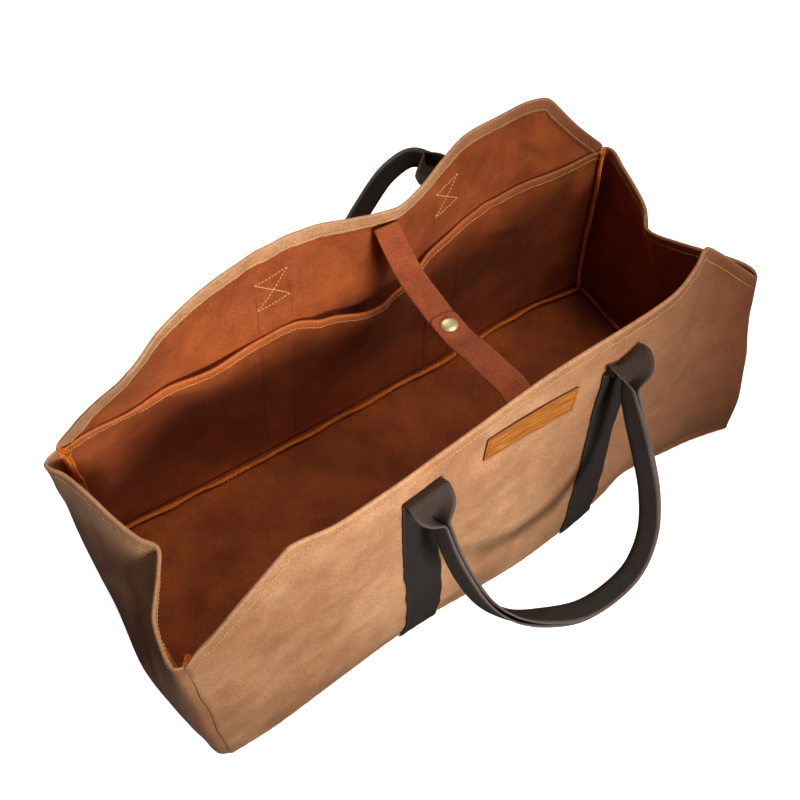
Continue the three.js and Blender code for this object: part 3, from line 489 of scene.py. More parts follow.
def canvas_material(name, outside, outside_pale, lining, lining_dark, thread=0.00095):
    """Waxed canvas: plain weave, uneven wax, tan on one face and rust on the other, with painted
    shade darkening the tan face towards both ends.
    """
    m = Recipe(name)
    where = m.node("ShaderNodeUVMap", {"uv_map": "cloth"}).outputs[0]
    inside = m.node("ShaderNodeAttribute", {"attribute_name": "inside"}).outputs["Fac"]
    wear = m.node("ShaderNodeAttribute", {"attribute_name": "wear"}).outputs["Fac"]
    space = m.node("ShaderNodeTexCoord").outputs["Object"]
    cloud = m.noise(space, 13, 4, 0.6)
    patch = m.noise(space, 46, 4, 0.62)
    slub_up = m.noise(m.stretched(where, 1100, 70), 1, 1, 0.5)
    slub_across = m.noise(m.stretched(where, 70, 1100), 1, 1, 0.5)
    grain = m.noise(where, 420, 4, 0.75)
    tan = m.mixed(m.spread(cloud, 0.38, 0.62, 0, 1), outside, outside_pale)
    rust = m.mixed(m.spread(cloud, 0.38, 0.62, 0, 1), lining_dark, lining)
    # Painted shade: the tan face is darkened to (140, 80, 48) where the light falls off. This runs
    # towards the right end, from x 0.08 to 0.34 m with a cloudy edge, and over the left end beyond
    # x -0.3 m.
    along = m.node("ShaderNodeSeparateXYZ", Vector=space).outputs[0]
    right = m.sums("ADD", along, m.sums("MULTIPLY", cloud, 0.12))
    painted_shade_on_waxed = m.sums("ADD", m.spread(right, 0.08, 0.34, 0, 0.95),
                   m.spread(along, -0.3, -0.322, 0, 0.9))
    tan = m.mixed(painted_shade_on_waxed, tan, colour(140, 80, 48))
    base = m.mixed(inside, tan, rust)
    tone = m.sums("ADD", m.spread(patch, 0.36, 0.64, 0.88, 1.08),
                  m.spread(grain, 0.36, 0.64, -0.2, 0.2))
    threads = m.sums("ADD", m.spread(slub_up, 0.3, 0.7, -0.05, 0.05),
                     m.spread(slub_across, 0.3, 0.7, -0.05, 0.05))
    tone = m.sums("ADD", tone, threads)
    grey = m.node("ShaderNodeCombineColor", Red=tone, Green=tone, Blue=tone).outputs[0]
    base = m.mixed(1.0, base, grey, "MULTIPLY")
    rubbed = m.sums("MULTIPLY", wear, m.spread(grain, 0.35, 0.6, 0.15, 0.5))
    base = m.mixed(rubbed, base, outside_pale)
    u = m.node("ShaderNodeSeparateXYZ", Vector=where)
    turn = 2 * math.pi / thread
    over = m.sums("SINE", m.sums("MULTIPLY", u.outputs[0], turn))
    under = m.sums("SINE", m.sums("MULTIPLY", u.outputs[1], turn))
    weave = m.sums("MULTIPLY", over, under)
    height = m.sums("ADD", m.sums("MULTIPLY", weave, 0.35),
                    m.sums("ADD", m.sums("MULTIPLY", grain, 0.9), m.sums("MULTIPLY", threads, 5)))
    bump = m.node("ShaderNodeBump", Height=height, Strength=0.55, Distance=0.00018)
    m.put(Base_Color=base, Roughness=m.spread(patch, 0.3, 0.7, 0.56, 0.74),
          Specular_IOR_Level=0.32, Normal=bump.outputs[0])
    m.put(Sheen_Weight=0.05, Sheen_Roughness=0.5)
    return m.material


def sewn_row(name, points, normals, material, pitch=0.0034, long=0.0025, radius=0.00042,
             sunk=0.00028):
    """Row of single stitches along a line, each a short thread that dips in at its ends."""
    points, normals = np.asarray(points, float), np.asarray(normals, float)
    run = np.concatenate([[0], np.cumsum(np.linalg.norm(np.diff(points, axis=0), axis=1))])
    count = max(int(run[-1] / pitch), 1)
    middle = (np.arange(count) + 0.5) * run[-1] / count
    shares = np.array([-0.5, -0.34, 0, 0.34, 0.5])
    rings = np.array([0.25, 0.85, 1.0, 0.85, 0.25])
    dips = np.array([-1.0, 0.1, 0.45, 0.1, -1.0]) * sunk
    where = middle[:, None] + shares * long
    line = np.stack([np.interp(where, run, points[:, k]) for k in range(3)], -1)
    up = np.stack([np.interp(where, run, normals[:, k]) for k in range(3)], -1)
    up /= np.linalg.norm(up, axis=-1, keepdims=True)
    along = line[:, -1:] - line[:, :1]
    along /= np.linalg.norm(along, axis=-1, keepdims=True)
    aside = np.cross(along, up)
    line = line + up * dips[None, :, None]
    corners = np.arange(6) * math.pi / 3
    ring = (np.cos(corners)[:, None] * aside[:, :, None, :]
            + np.sin(corners)[:, None] * up[:, :, None, :])
    cloud = line[:, :, None, :] + ring * (radius * rings)[None, :, None, None]
    k = np.arange(6)
    faces = []
    for n in range(count):
        start = n * 30
        for r in range(4):
            for c in k:
                d = (c + 1) % 6
                faces.append((start + r * 6 + c, start + r * 6 + d,
                              start + r * 6 + 6 + d, start + r * 6 + 6 + c))
        faces.append(tuple(start + c for c in k[::-1]))
        faces.append(tuple(start + 24 + c for c in k))
    thing = built(name, cloud.reshape(-1, 3), faces)
    thing.data.materials.append(material)
    return thing


def thread_material(name, paint):
    m = Recipe(name)
    space = m.node("ShaderNodeTexCoord").outputs["Object"]
    twist = m.noise(space, 1500, 1)
    dirt = m.noise(space, 60, 2)
    tone = m.sums("ADD", m.spread(twist, 0.3, 0.7, 0.8, 1.1), m.spread(dirt, 0.3, 0.7, -0.18, 0.12))
    grey = m.node("ShaderNodeCombineColor", Red=tone, Green=tone, Blue=tone).outputs[0]
    m.put(Base_Color=m.mixed(1.0, paint, grey, "MULTIPLY"), Roughness=0.7, Specular_IOR_Level=0.25)
    return m.material


outer_canvas = canvas_material(
    "waxed canvas", colour(176, 124, 86), colour(200, 150, 110), colour(164, 82, 34),
    colour(134, 60, 22),
)
yellow_thread = thread_material("yellow thread", colour(218, 176, 104))

kinks = 1 - SHOULDER / HALF + np.array([0, -0.004, 0.004, -0.009, 0.009])
fine = np.array([0.0004, 0.001, 0.0018, 0.0028, 0.004, 0.0054, 0.007]) / HALF
wall_columns = np.unique(np.concatenate([
    np.linspace(-WALL_END, WALL_END, 221), WALL_END - fine, fine - WALL_END,
    kinks, -kinks,
]))
wall_foot = (0.0, 0.001, 0.002, 0.0032, 0.0045, 0.006)
for node, place in (("front_panel", front_at), ("back_panel", back_at)):
    panel = cloth_sheet(
        node + "_canvas", place, wall_columns, top_edge(wall_columns),
        hem_depth(wall_columns), wall_foot,
    )
    panel.data.materials.append(outer_canvas)
    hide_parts(node)
    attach(panel, "root")
    along = np.linspace(-WALL_END + 0.02, WALL_END - 0.02, 500)
    for face, off in (("outer", CANVAS / 2 + THREAD_CLEAR), ("inner", -CANVAS / 2 - HEM_BEHIND)):
        heights = top_edge(along) - hem_depth(along) * HEM_STITCH / HEM
        points, normals = place(along, heights, off)
        facing = normals if face == "outer" else -normals
        row = sewn_row(f"{node}_hem_{face}_stitches", points, facing, yellow_thread)
        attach(row, "root")
    foot_line = np.linspace(-0.985, 0.985, 700)
    points, normals = place(foot_line, FOOT_STITCH, CANVAS / 2 - THREAD_CLEAR)
    row = sewn_row(f"{node}_foot_stitches", points, normals, yellow_thread)
    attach(row, "root")

# End walls
# Two low panels of the same canvas, hemmed at the top and sewn between the long walls.
# The middle of each top edge folds inward, so the bag closes like a bellows.

# From the back corner at 0 to the front corner at 1: outward pushes at the foot, low down
# and at the top, as shares of WIDTH.
LEFT_END = np.array([
    (0, 0, 0, 0),
    (0.04, 0.02, 0.034, 0.055),
    (0.12, 0.034, 0.062, 0.02),
    (0.24, 0.04, 0.075, -0.016),
    (0.38, 0.043, 0.08, -0.05),
    (0.5, 0.043, 0.09, -0.086),
    (0.565, 0.043, 0.096, -0.118),
    (0.64, 0.043, 0.1, -0.082),
    (0.72, 0.04, 0.095, -0.03),
    (0.79, 0.045, 0.086, 0.01),
    (0.9, 0.042, 0.069, 0.03),
    (0.97, 0.03, 0.036, 0.03),
    (1, 0, 0, 0),

])
RIGHT_END = np.array([
    (0, 0, 0, 0),
    (0.05, 0.01, 0.015, 0.02),
    (0.15, 0.015, 0.028, -0.008),
    (0.3, 0.012, 0.03, -0.056),
    (0.42, 0.008, 0.026, -0.107),
    (0.5, 0.006, 0.024, -0.17),
    (0.555, 0.006, 0.024, -0.168),
    (0.65, 0.008, 0.028, -0.122),
    (0.77, 0.012, 0.036, -0.052),
    (0.88, 0.018, 0.036, 0.006),
    (0.95, 0.016, 0.026, 0.022),
    (1, 0, 0, 0),

])
END_HEIGHTS = (0, 0.27, 1)
END_TALL = END_HEIGHT - WALL_BASE
END_WIDE = 0.24
# Folds: place from the back in millimetres, height, half length, half width, turn, push out
LEFT_FOLDS = (
    (128, 150, 46, 9, 84, -1.6),
    (90, 120, 40, 12, 60, 1.4),
    (180, 120, 44, 12, -62, 1.5),
    (60, 160, 30, 8, 40, -1.1),
    (205, 70, 40, 10, -70, -1.1),
    (120, 50, 50, 12, 4, 1.1),
)
RIGHT_FOLDS = (
    (125, 150, 46, 9, 86, -1.5),
    (80, 120, 40, 10, 60, 1.2),
    (180, 120, 40, 12, -60, 1.3),
    (50, 60, 40, 10, 60, -1.0),
)


def slack_end(rows, side, across, height):
    across, height = np.broadcast_arrays(np.asarray(across, float), np.asarray(height, float))
    back = plain_wall(BACK_WALL, 1, side * WALL_END, height)
    front = plain_wall(FRONT_WALL, -1, side * WALL_END, height)
    point = back + (front - back) * across[..., None]
    wide = np.linalg.norm(front - back, axis=-1)
    pushes = np.array([column(rows, k, across) for k in (1, 2, 3)])
    outward = WIDTH * through(END_HEIGHTS, pushes, height / END_TALL)
    roll = ROLL_DEPTH * np.clip(1 - height / ROLL_HEIGHT, 0, 1) ** 2
    roll = roll * np.clip(np.minimum(8 * across, 8 * (1 - across)), 0, 1)
    from_back, from_front = across * wide, (1 - across) * wide
    place = across * END_WIDE
    folds = LEFT_FOLDS if side < 0 else RIGHT_FOLDS
    push = listed_folds(folds, place, height) + soft_waves(place, height, 31 + side, size=0.0009)
    push = push * eased(np.minimum(from_back, from_front), 0, 0.03) * eased(height, 0, 0.03)
    push = push + seam_pucker(place, height - (END_TALL - HEM), 41 + side)
    push = push + seam_pucker(place, height - 0.004, 43 + side) * 0.5
    back_along, back_in = corner_turn(from_back)
    front_along, front_in = corner_turn(from_front)
    stray = (np.exp(-((from_back / CORNER_REACH) ** 2)) * corner_wander(side, 1, height)
             + np.exp(-((from_front / CORNER_REACH) ** 2)) * corner_wander(side, -1, height))
    point[..., 1] += front_along - back_along
    point[..., 0] += side * (outward - roll + push - back_in - front_in - stray)
    return point


def left_at(across, height, off=0.0):
    return stood_off(
        lambda a, h: slack_end(LEFT_END, -1, a, h), across, height, off, -1, 0.003, 0.0008
    )


def right_at(across, height, off=0.0):
    return stood_off(
        lambda a, h: slack_end(RIGHT_END, 1, a, h), across, height, off, 1, 0.003, 0.0008
    )


end_fine = fine * HALF / END_WIDE
end_columns = np.unique(np.concatenate([
    np.linspace(0, 1, 111), end_fine, 1 - end_fine, np.linspace(0.5, 0.62, 25),
]))
for node, place in (("left_end_panel", left_at), ("right_end_panel", right_at)):
    panel = cloth_sheet(
        node + "_canvas", place, end_columns, np.full(end_columns.shape, END_TALL),
        np.full(end_columns.shape, HEM), wall_foot, bands=50, wide=END_WIDE,
    )
    panel.data.materials.append(outer_canvas)
    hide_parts(node)
    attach(panel, "root")
    along = np.linspace(0.05, 0.95, 300)
    for face, off in (("outer", CANVAS / 2 + THREAD_CLEAR), ("inner", -CANVAS / 2 - HEM_BEHIND)):
        points, normals = place(along, END_TALL - HEM_STITCH, off)
        facing = normals if face == "outer" else -normals
        row = sewn_row(f"{node}_hem_{face}_stitches", points, facing, yellow_thread)
        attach(row, "root")

# Inner pocket
# A lining panel of the same rust-faced canvas, sewn into the back wall at its ends and foot.
# Its top edge is hemmed and gapes a little, and the leg stitching of the handle goes through it.

# Along the wall from -1 to 1: how far the free edge stands off, as a share of WIDTH, and how
# far it sags, as a share of END_HEIGHT.
POCKET_EDGE = np.array([
    (-1, 0, 0),
    (-0.68, 0.004, 0),
    (-0.52, 0.028, 0.014),
    (-0.38, 0.004, 0.01),
    (-0.26, 0.002, 0.01),
    (-0.14, 0.045, 0.04),
    (0, 0.088, 0.085),
    (0.12, 0.06, 0.05),
    (0.24, 0.004, 0.015),
    (0.4, 0.002, 0.005),
    (0.6, 0.006, 0),
    (1, 0, 0),

])
POCKET_HEM = 0.010
POCKET_STITCH = 0.79
POCKET_CLEAR = 0.0008
POCKET_TALL = END_HEIGHT - WALL_BASE - ROLL_HEIGHT
POCKET_END = 1 - 2 * (2 * CANVAS + 6 * GAP) / LENGTH
GAPE_FROM = 0.3
POCKET_FOLDS = (
    (-176, 168, 30, 12, 30, 2.2),
    (-208, 127, 14, 9, 20, -1.8),
    (-223, 105, 16, 9, 70, -2.0),
    (-229, 140, 12, 8, 10, -1.4),
    (-120, 120, 60, 16, 70, 2.2),
    (-30, 130, 52, 14, 88, -3.2),
    (-60, 180, 40, 12, 80, 2.2),
    (40, 150, 60, 14, 82, 2.4),
    (255, 168, 24, 10, 30, -1.4),
    (175, 176, 30, 9, 16, 1.6),
    (100, 120, 44, 12, 64, 2.2),
    (150, 90, 60, 12, 76, -2.2),
    (220, 90, 40, 10, 50, 1.8),
)


def slack_pocket(at, height):
    at, height = np.broadcast_arrays(np.asarray(at, float), np.asarray(height, float))
    share = height / POCKET_TALL
    free = np.clip((share - GAPE_FROM) / (1 - GAPE_FROM), 0, 1.2)
    sag = END_HEIGHT * column(POCKET_EDGE, 2, at) * share**2
    on_back = ROLL_HEIGHT + height - sag
    point = slack_wall(BACK_WALL, 1, at, on_back)
    near_hem = (on_back - (top_edge(at) - HEM - 4 * CANVAS)) / (3 * CANVAS)
    stand = CANVAS + POCKET_CLEAR + CANVAS * np.clip(near_hem, 0, 1)
    own = listed_folds(POCKET_FOLDS, at * HALF, on_back)
    own = own + soft_waves(at * HALF, on_back, 57, size=0.0012)
    own = np.logaddexp(0, own * 2200) / 2200 - 0.0003
    own = own * eased(height, 0, 0.03) * eased(HALF * (POCKET_END - np.abs(at)), -0.002, 0.03)
    gape = WIDTH * column(POCKET_EDGE, 1, at) * free**2 * (3 - 2 * np.minimum(free, 1))
    pucker = seam_pucker(at * HALF, height - (POCKET_TALL - POCKET_HEM), 61) * 1.3
    point[..., 1] -= stand * 1.06 + own + gape + pucker
    return point


def pocket_at(at, height, off=0.0):
    return stood_off(slack_pocket, at, height, off, 1, 0.002, 0.0008)


lining_canvas = canvas_material(
    "rust lining canvas", colour(168, 84, 34), colour(188, 100, 46), colour(168, 84, 34),
    colour(138, 62, 22),
)
pocket_columns = np.linspace(-POCKET_END, POCKET_END, 201)
pocket = cloth_sheet(
    "pocket_panel_canvas", pocket_at, pocket_columns,
    np.full(pocket_columns.shape, POCKET_TALL),
    np.full(pocket_columns.shape, POCKET_HEM), (0.0, 0.002, 0.004), extra=0.0013, bands=54,
)
pocket.data.materials.append(lining_canvas)
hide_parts("pocket_panel")
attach(pocket, "root")
along = np.linspace(-POCKET_END + 0.015, POCKET_END - 0.015, 500)
points, normals = pocket_at(along, POCKET_TALL - POCKET_HEM * POCKET_STITCH,
                            -CANVAS / 2 - 0.0014)
pocket_row = sewn_row("pocket_hem_stitches", points, -normals, yellow_thread)
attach(pocket_row, "root")

# Bottom panel
# A rectangle of the same canvas, rust side up, sewn to the four walls.
# The front edge lifts a little where the front wall is drawn up.

LIFT_FROM = 0.72
SEAM_HEIGHT = 0.0005
# Folds seen from above: place across and back, then as in the walls
BOTTOM_FOLDS = (
    (93, -66, 60, 8, -20, 1.6),
    (172, -40, 44, 9, 60, 1.3),
    (-120, -20, 60, 9, 14, 1.2),
    (-30, 40, 50, 9, -30, 1.0),
)


def slack_bottom(s, t):
    s, t = np.broadcast_arrays(np.asarray(s, float), np.asarray(t, float))
    at = 2 * s - 1
    left = slack_end(LEFT_END, -1, t, SEAM_HEIGHT)
    right = slack_end(RIGHT_END, 1, t, SEAM_HEIGHT)
    back = slack_wall(BACK_WALL, 1, np.clip(at, -0.98, 0.98), SEAM_HEIGHT)
    front = slack_wall(FRONT_WALL, -1, np.clip(at, -0.98, 0.98), SEAM_HEIGHT)
    near = np.clip((t - LIFT_FROM) / (1 - LIFT_FROM), 0, None)
    edge = np.minimum(np.minimum(s, 1 - s) * LENGTH, np.minimum(t, 1 - t) * WIDTH)
    x = left[..., 0] + (right[..., 0] - left[..., 0]) * s
    y = back[..., 1] + (front[..., 1] - back[..., 1]) * t
    ripple = np.clip(soft_waves(x, y, 71, size=0.0009) + 0.0004, 0, None)
    folds = listed_folds(BOTTOM_FOLDS, x, y)
    z = CANVAS / 2 + MID_HEIGHT * column(FRONT_WALL, 6, at) * near**2
    z = z + (ripple + folds) * eased(edge, 0.004, 0.03) + 0.0011 * eased(edge, 0.005, 0.0005)
    return np.stack([x, y, z], -1)


down = np.unique(np.concatenate([np.linspace(0, 1, 111), [0.004, 0.012, 0.988, 0.996]]))
over = np.unique(np.concatenate([np.linspace(0, 1, 181), [0.002, 0.005, 0.995, 0.998]]))
loop = np.concatenate([down, down[::-1]])
lift = np.concatenate([np.full(down.shape, -CANVAS / 2), np.full(down.shape, CANVAS / 2)])
s, t = np.meshgrid(over, loop)
points = slack_bottom(s, t)
points[..., 2] += lift[:, None]
bottom = built(
    "bottom_panel_canvas", points.reshape(-1, 3), loop_faces(len(loop), len(over)),
    np.stack([points[..., 0], points[..., 1]], -1).reshape(-1, 2),
    {"inside": np.broadcast_to((lift > 0)[:, None], s.shape).astype(float),
     "wear": np.zeros(s.shape)},
)
bottom.data.materials.append(outer_canvas)
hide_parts("bottom_panel")
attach(bottom, "root")

# Bound seams
# Inside the bag every seam allowance is wrapped in bright orange tape and oversewn.
# Four run along the bottom edges, and four stand diagonally in the corners up to the rim.

TAPE_WIDE = 0.0105
TAPE_THICK = 0.0028
OVERSEWING_STEP = 0.0024
LEAN = math.radians(50)


def tape_material():
    m = Recipe("orange binding tape")
    space = m.node("ShaderNodeTexCoord").outputs["Object"]
    where = m.node("ShaderNodeUVMap", {"uv_map": "cloth"}).outputs[0]
    fuzz = m.noise(space, 700, 3, 0.7)
    cloud = m.noise(space, 40, 3, 0.6)
    dull = m.mixed(m.spread(cloud, 0.35, 0.65, 0, 1), colour(200, 88, 24), colour(232, 118, 36))
    bright = m.mixed(m.spread(fuzz, 0.5, 0.62, 0, 0.7), dull, colour(255, 176, 80))
    rib = m.sums("SINE", m.sums("MULTIPLY", m.node("ShaderNodeSeparateXYZ",
                                                   Vector=where).outputs[0], 2 * math.pi / 0.0011))
    height = m.sums("ADD", fuzz, m.sums("MULTIPLY", rib, 0.3))
    bump = m.node("ShaderNodeBump", Height=height, Strength=0.8, Distance=0.0004)
    m.put(Base_Color=bright, Roughness=0.85, Specular_IOR_Level=0.2, Normal=bump.outputs[0])
    return m.material


def tape_along(name, starts, outs, ups, seed):
    """Folded tape: starts is its sewn edge, outs the way it stands, ups its face."""
    run = np.concatenate([[0], np.cumsum(np.linalg.norm(np.diff(starts, axis=0), axis=1))])
    sway = soft_waves(run, run * 0, seed, low=0.018, high=0.09, size=0.0011)
    narrow = 1 + soft_waves(run, run * 0, seed + 1, low=0.01, high=0.05, size=0.07)
    round_edge = np.linspace(0, math.pi, 9)
    rounded = 1 - TAPE_THICK / 2 / TAPE_WIDE * (1 - np.sin(round_edge))
    a = np.concatenate([[0, 0.3, 0.6], rounded, [0.6, 0.3, 0]])
    b = np.concatenate([[0.4, 0.46, 0.5], 0.5 * np.cos(round_edge), [-0.5, -0.46, -0.4]])
    a = a[:, None] * TAPE_WIDE * narrow
    b = b[:, None] * TAPE_THICK * (1 + (narrow - 1) * 1.5)
    curl = sway * (a / TAPE_WIDE) ** 2
    points = starts + outs * a[..., None] + ups * (b + curl)[..., None]
    uv = np.stack([np.broadcast_to(run, a.shape), a + b], -1)
    tape = built(name, points.reshape(-1, 3), loop_faces(len(a), len(run)), uv.reshape(-1, 2))
    tape.data.materials.append(orange_tape)
    for face in (1, -1):
        places = np.arange(0.003, run[-1] - 0.003, OVERSEWING_STEP)
        reach = np.where(np.arange(len(places)) % 2, 0.9, 0.42) * TAPE_WIDE
        bulge = np.interp(places, run, sway) * (reach / TAPE_WIDE) ** 2 * face
        lift = TAPE_THICK / 2 + THREAD_CLEAR + bulge
        base = np.stack([np.interp(places, run, starts[:, k]) for k in range(3)], -1)
        out = np.stack([np.interp(places, run, outs[:, k]) for k in range(3)], -1)
        up = np.stack([np.interp(places, run, ups[:, k]) for k in range(3)], -1) * face
        line = base + out * reach[:, None] + up * lift[:, None]
        long = np.linalg.norm(np.diff(line, axis=0), axis=1).mean()
        row = sewn_row(f"{name}_oversewing_{'front' if face > 0 else 'back'}", line, up,
                       orange_thread, pitch=long, long=long * 1.02, radius=0.0005, sunk=0.0001)
        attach(row, "root")
    return tape


orange_tape = tape_material()
orange_thread = thread_material("orange thread", colour(255, 160, 62))
BOTTOM_REACH = 1 - 2 * 0.009 / LENGTH
lines = {
    "seam_front": (front_at, np.linspace(-BOTTOM_REACH, BOTTOM_REACH, 260), (0, 1, 0)),
    "seam_back": (back_at, np.linspace(-BOTTOM_REACH, BOTTOM_REACH, 260), (0, -1, 0)),
    "seam_left": (left_at, np.linspace(0.04, 0.96, 120), (1, 0, 0)),
    "seam_right": (right_at, np.linspace(0.04, 0.96, 120), (-1, 0, 0)),
}
for number, (node, (place, along, inward)) in enumerate(lines.items()):
    foot, _ = place(along, 0.0002)
    inward = np.array(inward, float)
    up = np.array([0, 0, 1.0])
    wander = soft_waves(along, along * 0, 90 + number, low=0.1, high=0.4, size=0.12)
    lean = (LEAN + wander)[:, None]
    outs = inward * np.cos(lean) + up * np.sin(lean)
    faces = up * np.cos(lean) - inward * np.sin(lean)
    starts = foot + inward * 0.0016
    starts[:, 2] += 0.0004
    tape = tape_along(node + "_tape", starts, outs, faces, 80 + number)
    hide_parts(node)
    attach(tape, "root")
for number, (node, side_x, side_y) in enumerate((
    ("corner_seam_front_left", -1, -1), ("corner_seam_back_left", -1, 1),
    ("corner_seam_front_right", 1, -1), ("corner_seam_back_right", 1, 1),
)):
    heights = np.linspace(ROLL_HEIGHT + 0.004, END_TALL - 0.0004, 110)
    rows_here = BACK_WALL if side_y > 0 else FRONT_WALL
    corner = plain_wall(rows_here, side_y, side_x * WALL_END, heights)
    inward = np.array([-side_x, -side_y, 0]) / math.sqrt(2)
    face = np.array([side_y, -side_x, 0]) / math.sqrt(2)
    starts = corner + inward * 0.0027
    count = (len(heights), 1)
    tape = tape_along(node + "_tape", starts, np.tile(inward, count), np.tile(face, count),
                      100 + number)
    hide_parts(node)
    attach(tape, "root")
    tack = []
    for k in range(9):
        reach = 0.0008 + 0.0009 * k
        for lower in (k % 2, 1 - k % 2):
            tack.append(starts[-1] + inward * reach * 1.1 + [0, 0, 0.0006 - 0.011 * lower])
    for face_way in (1, -1):
        line = np.array(tack) + face * face_way * (TAPE_THICK / 2 + 0.0004)
        ups = np.tile(face * face_way, (len(line), 1))
        row = sewn_row(f"{node}_tack_{'front' if face_way > 0 else 'back'}", line, ups,
                       orange_thread, pitch=0.0055, long=0.0056, radius=0.00045, sunk=0.0001)
        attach(row, "root")

# Handles
# Each is one length of black cotton herringbone webbing. It is sewn up the wall from the
# bottom seam, turns over below the hem as a hood, and is folded double for the grip.

WEBBING = 0.038
WEBBING_THICK = 0.002
HANDLE_SPREAD = 0.194
BACK_SHIFT = 0.002
HOOD_BELOW_RIM = 0.028
GRIP_REACH = 0.140
FOLD_MIDDLE = 0.0088
LEG_STITCH = 0.0165
LEG_STITCHED = (0.008, 0.254)
BOX_STITCHED = (0.240, 0.266)
UNDER_POCKET = 0.190
OVER_POCKET = 0.214
# From the left hood to the right one: across as a share of half the spread, then away from
# the wall and down from the hoods as shares of GRIP_REACH.
FRONT_GRIP = np.array([
    (-1.01, 0.14, 0.19),
    (-1.03, 0.26, 0.32),
    (-1.02, 0.4, 0.44),
    (-0.96, 0.53, 0.56),
    (-0.8, 0.65, 0.68),
    (-0.52, 0.75, 0.78),
    (-0.22, 0.82, 0.85),
    (0.09, 0.84, 0.86),
    (0.39, 0.82, 0.81),
    (0.64, 0.73, 0.7),
    (0.8, 0.58, 0.54),
    (0.87, 0.42, 0.36),
    (0.9, 0.28, 0.18),
    (0.94, 0.17, 0.05),

])
BACK_GRIP = np.array([
    (-1.05, 0.1, 0.15),
    (-1.13, 0.14, 0.36),
    (-1.2, 0.17, 0.58),
    (-1.16, 0.19, 0.78),
    (-0.99, 0.2, 0.92),
    (-0.73, 0.2, 0.85),
    (-0.36, 0.2, 0.59),
    (0, 0.23, 0.35),
    (0.34, 0.3, 0.19),
    (0.67, 0.36, 0.08),
    (0.91, 0.33, 0.01),
    (0.99, 0.21, -0.02),

])
CROWN = ((1.4, 1.9), (2.0, 3.9))
# Which way the open edges of the folded webbing face, along the grip: share of its length
# and degrees, where 0 is to the inside of the loop and -90 up off it
FRONT_OPEN = ((0, -90), (0.05, -86), (0.1, -72), (0.2, -66), (0.3, -90), (0.38, -122),
              (0.5, -150), (0.62, -142), (0.76, -126), (0.88, -118), (0.93, -100), (0.97, -84),
              (1, -86))
BACK_OPEN = ((0, -90), (0.1, -50), (0.2, -14), (0.4, -12), (0.52, -25), (0.64, -45),
             (0.76, -60), (0.88, -55), (0.95, -75), (1, -90))


def smooth_route(points, count):
    """Centripetal curve through points, evenly spaced, with its run."""
    points = np.asarray(points, float)
    points = np.vstack([2 * points[0] - points[1], points, 2 * points[-1] - points[-2]])
    knots = np.concatenate([[0], np.cumsum(np.linalg.norm(np.diff(points, axis=0), axis=1) ** 0.5)])
    out = []
    for i in range(1, len(points) - 2):
        t0, t1, t2, t3 = knots[i - 1:i + 3]
        p0, p1, p2, p3 = points[i - 1:i + 3]
        t = np.linspace(t1, t2, 60, endpoint=False)[:, None]
        a1 = (t1 - t) / (t1 - t0) * p0 + (t - t0) / (t1 - t0) * p1
        a2 = (t2 - t) / (t2 - t1) * p1 + (t - t1) / (t2 - t1) * p2
        a3 = (t3 - t) / (t3 - t2) * p2 + (t - t2) / (t3 - t2) * p3
        b1 = (t2 - t) / (t2 - t0) * a1 + (t - t0) / (t2 - t0) * a2
        b2 = (t3 - t) / (t3 - t1) * a2 + (t - t1) / (t3 - t1) * a3
        out.append((t2 - t) / (t2 - t1) * b1 + (t - t1) / (t2 - t1) * b2)
    line = np.vstack(out + [points[-2:-1]])
    run = np.concatenate([[0], np.cumsum(np.linalg.norm(np.diff(line, axis=0), axis=1))])
    even = np.linspace(0, run[-1], count)
    return np.stack([np.interp(even, run, line[:, k]) for k in range(3)], -1), run[-1]


def unit(v):
    return v / np.linalg.norm(v, axis=-1, keepdims=True)


def folded_section(q, fold):
    """Middle line of the webbing's section: flat at fold 0, doubled at fold 1."""
    fine_q = np.linspace(0, WEBBING / 2, 60)
    bend = np.interp(fold, [0, 1], [0.013, 0.0052])
    turn = math.pi / 2 * np.clip(fine_q / bend, 0, 1)
    turn = turn + math.radians(10) * eased(fine_q, bend, bend + 0.006)
    turn = turn - math.radians(12) * eased(fine_q, 0.013, 0.019)
    turn = turn * fold
    step = np.diff(fine_q)
    u = np.concatenate([[0], np.cumsum(np.cos((turn[1:] + turn[:-1]) / 2) * step)])
    v = np.concatenate([[0], np.cumsum(np.sin((turn[1:] + turn[:-1]) / 2) * step)])
    side = np.sign(q)
    size = np.abs(q)
    here = np.interp(size, fine_q, turn) * side
    return np.interp(size, fine_q, u) * side, np.interp(size, fine_q, v), here


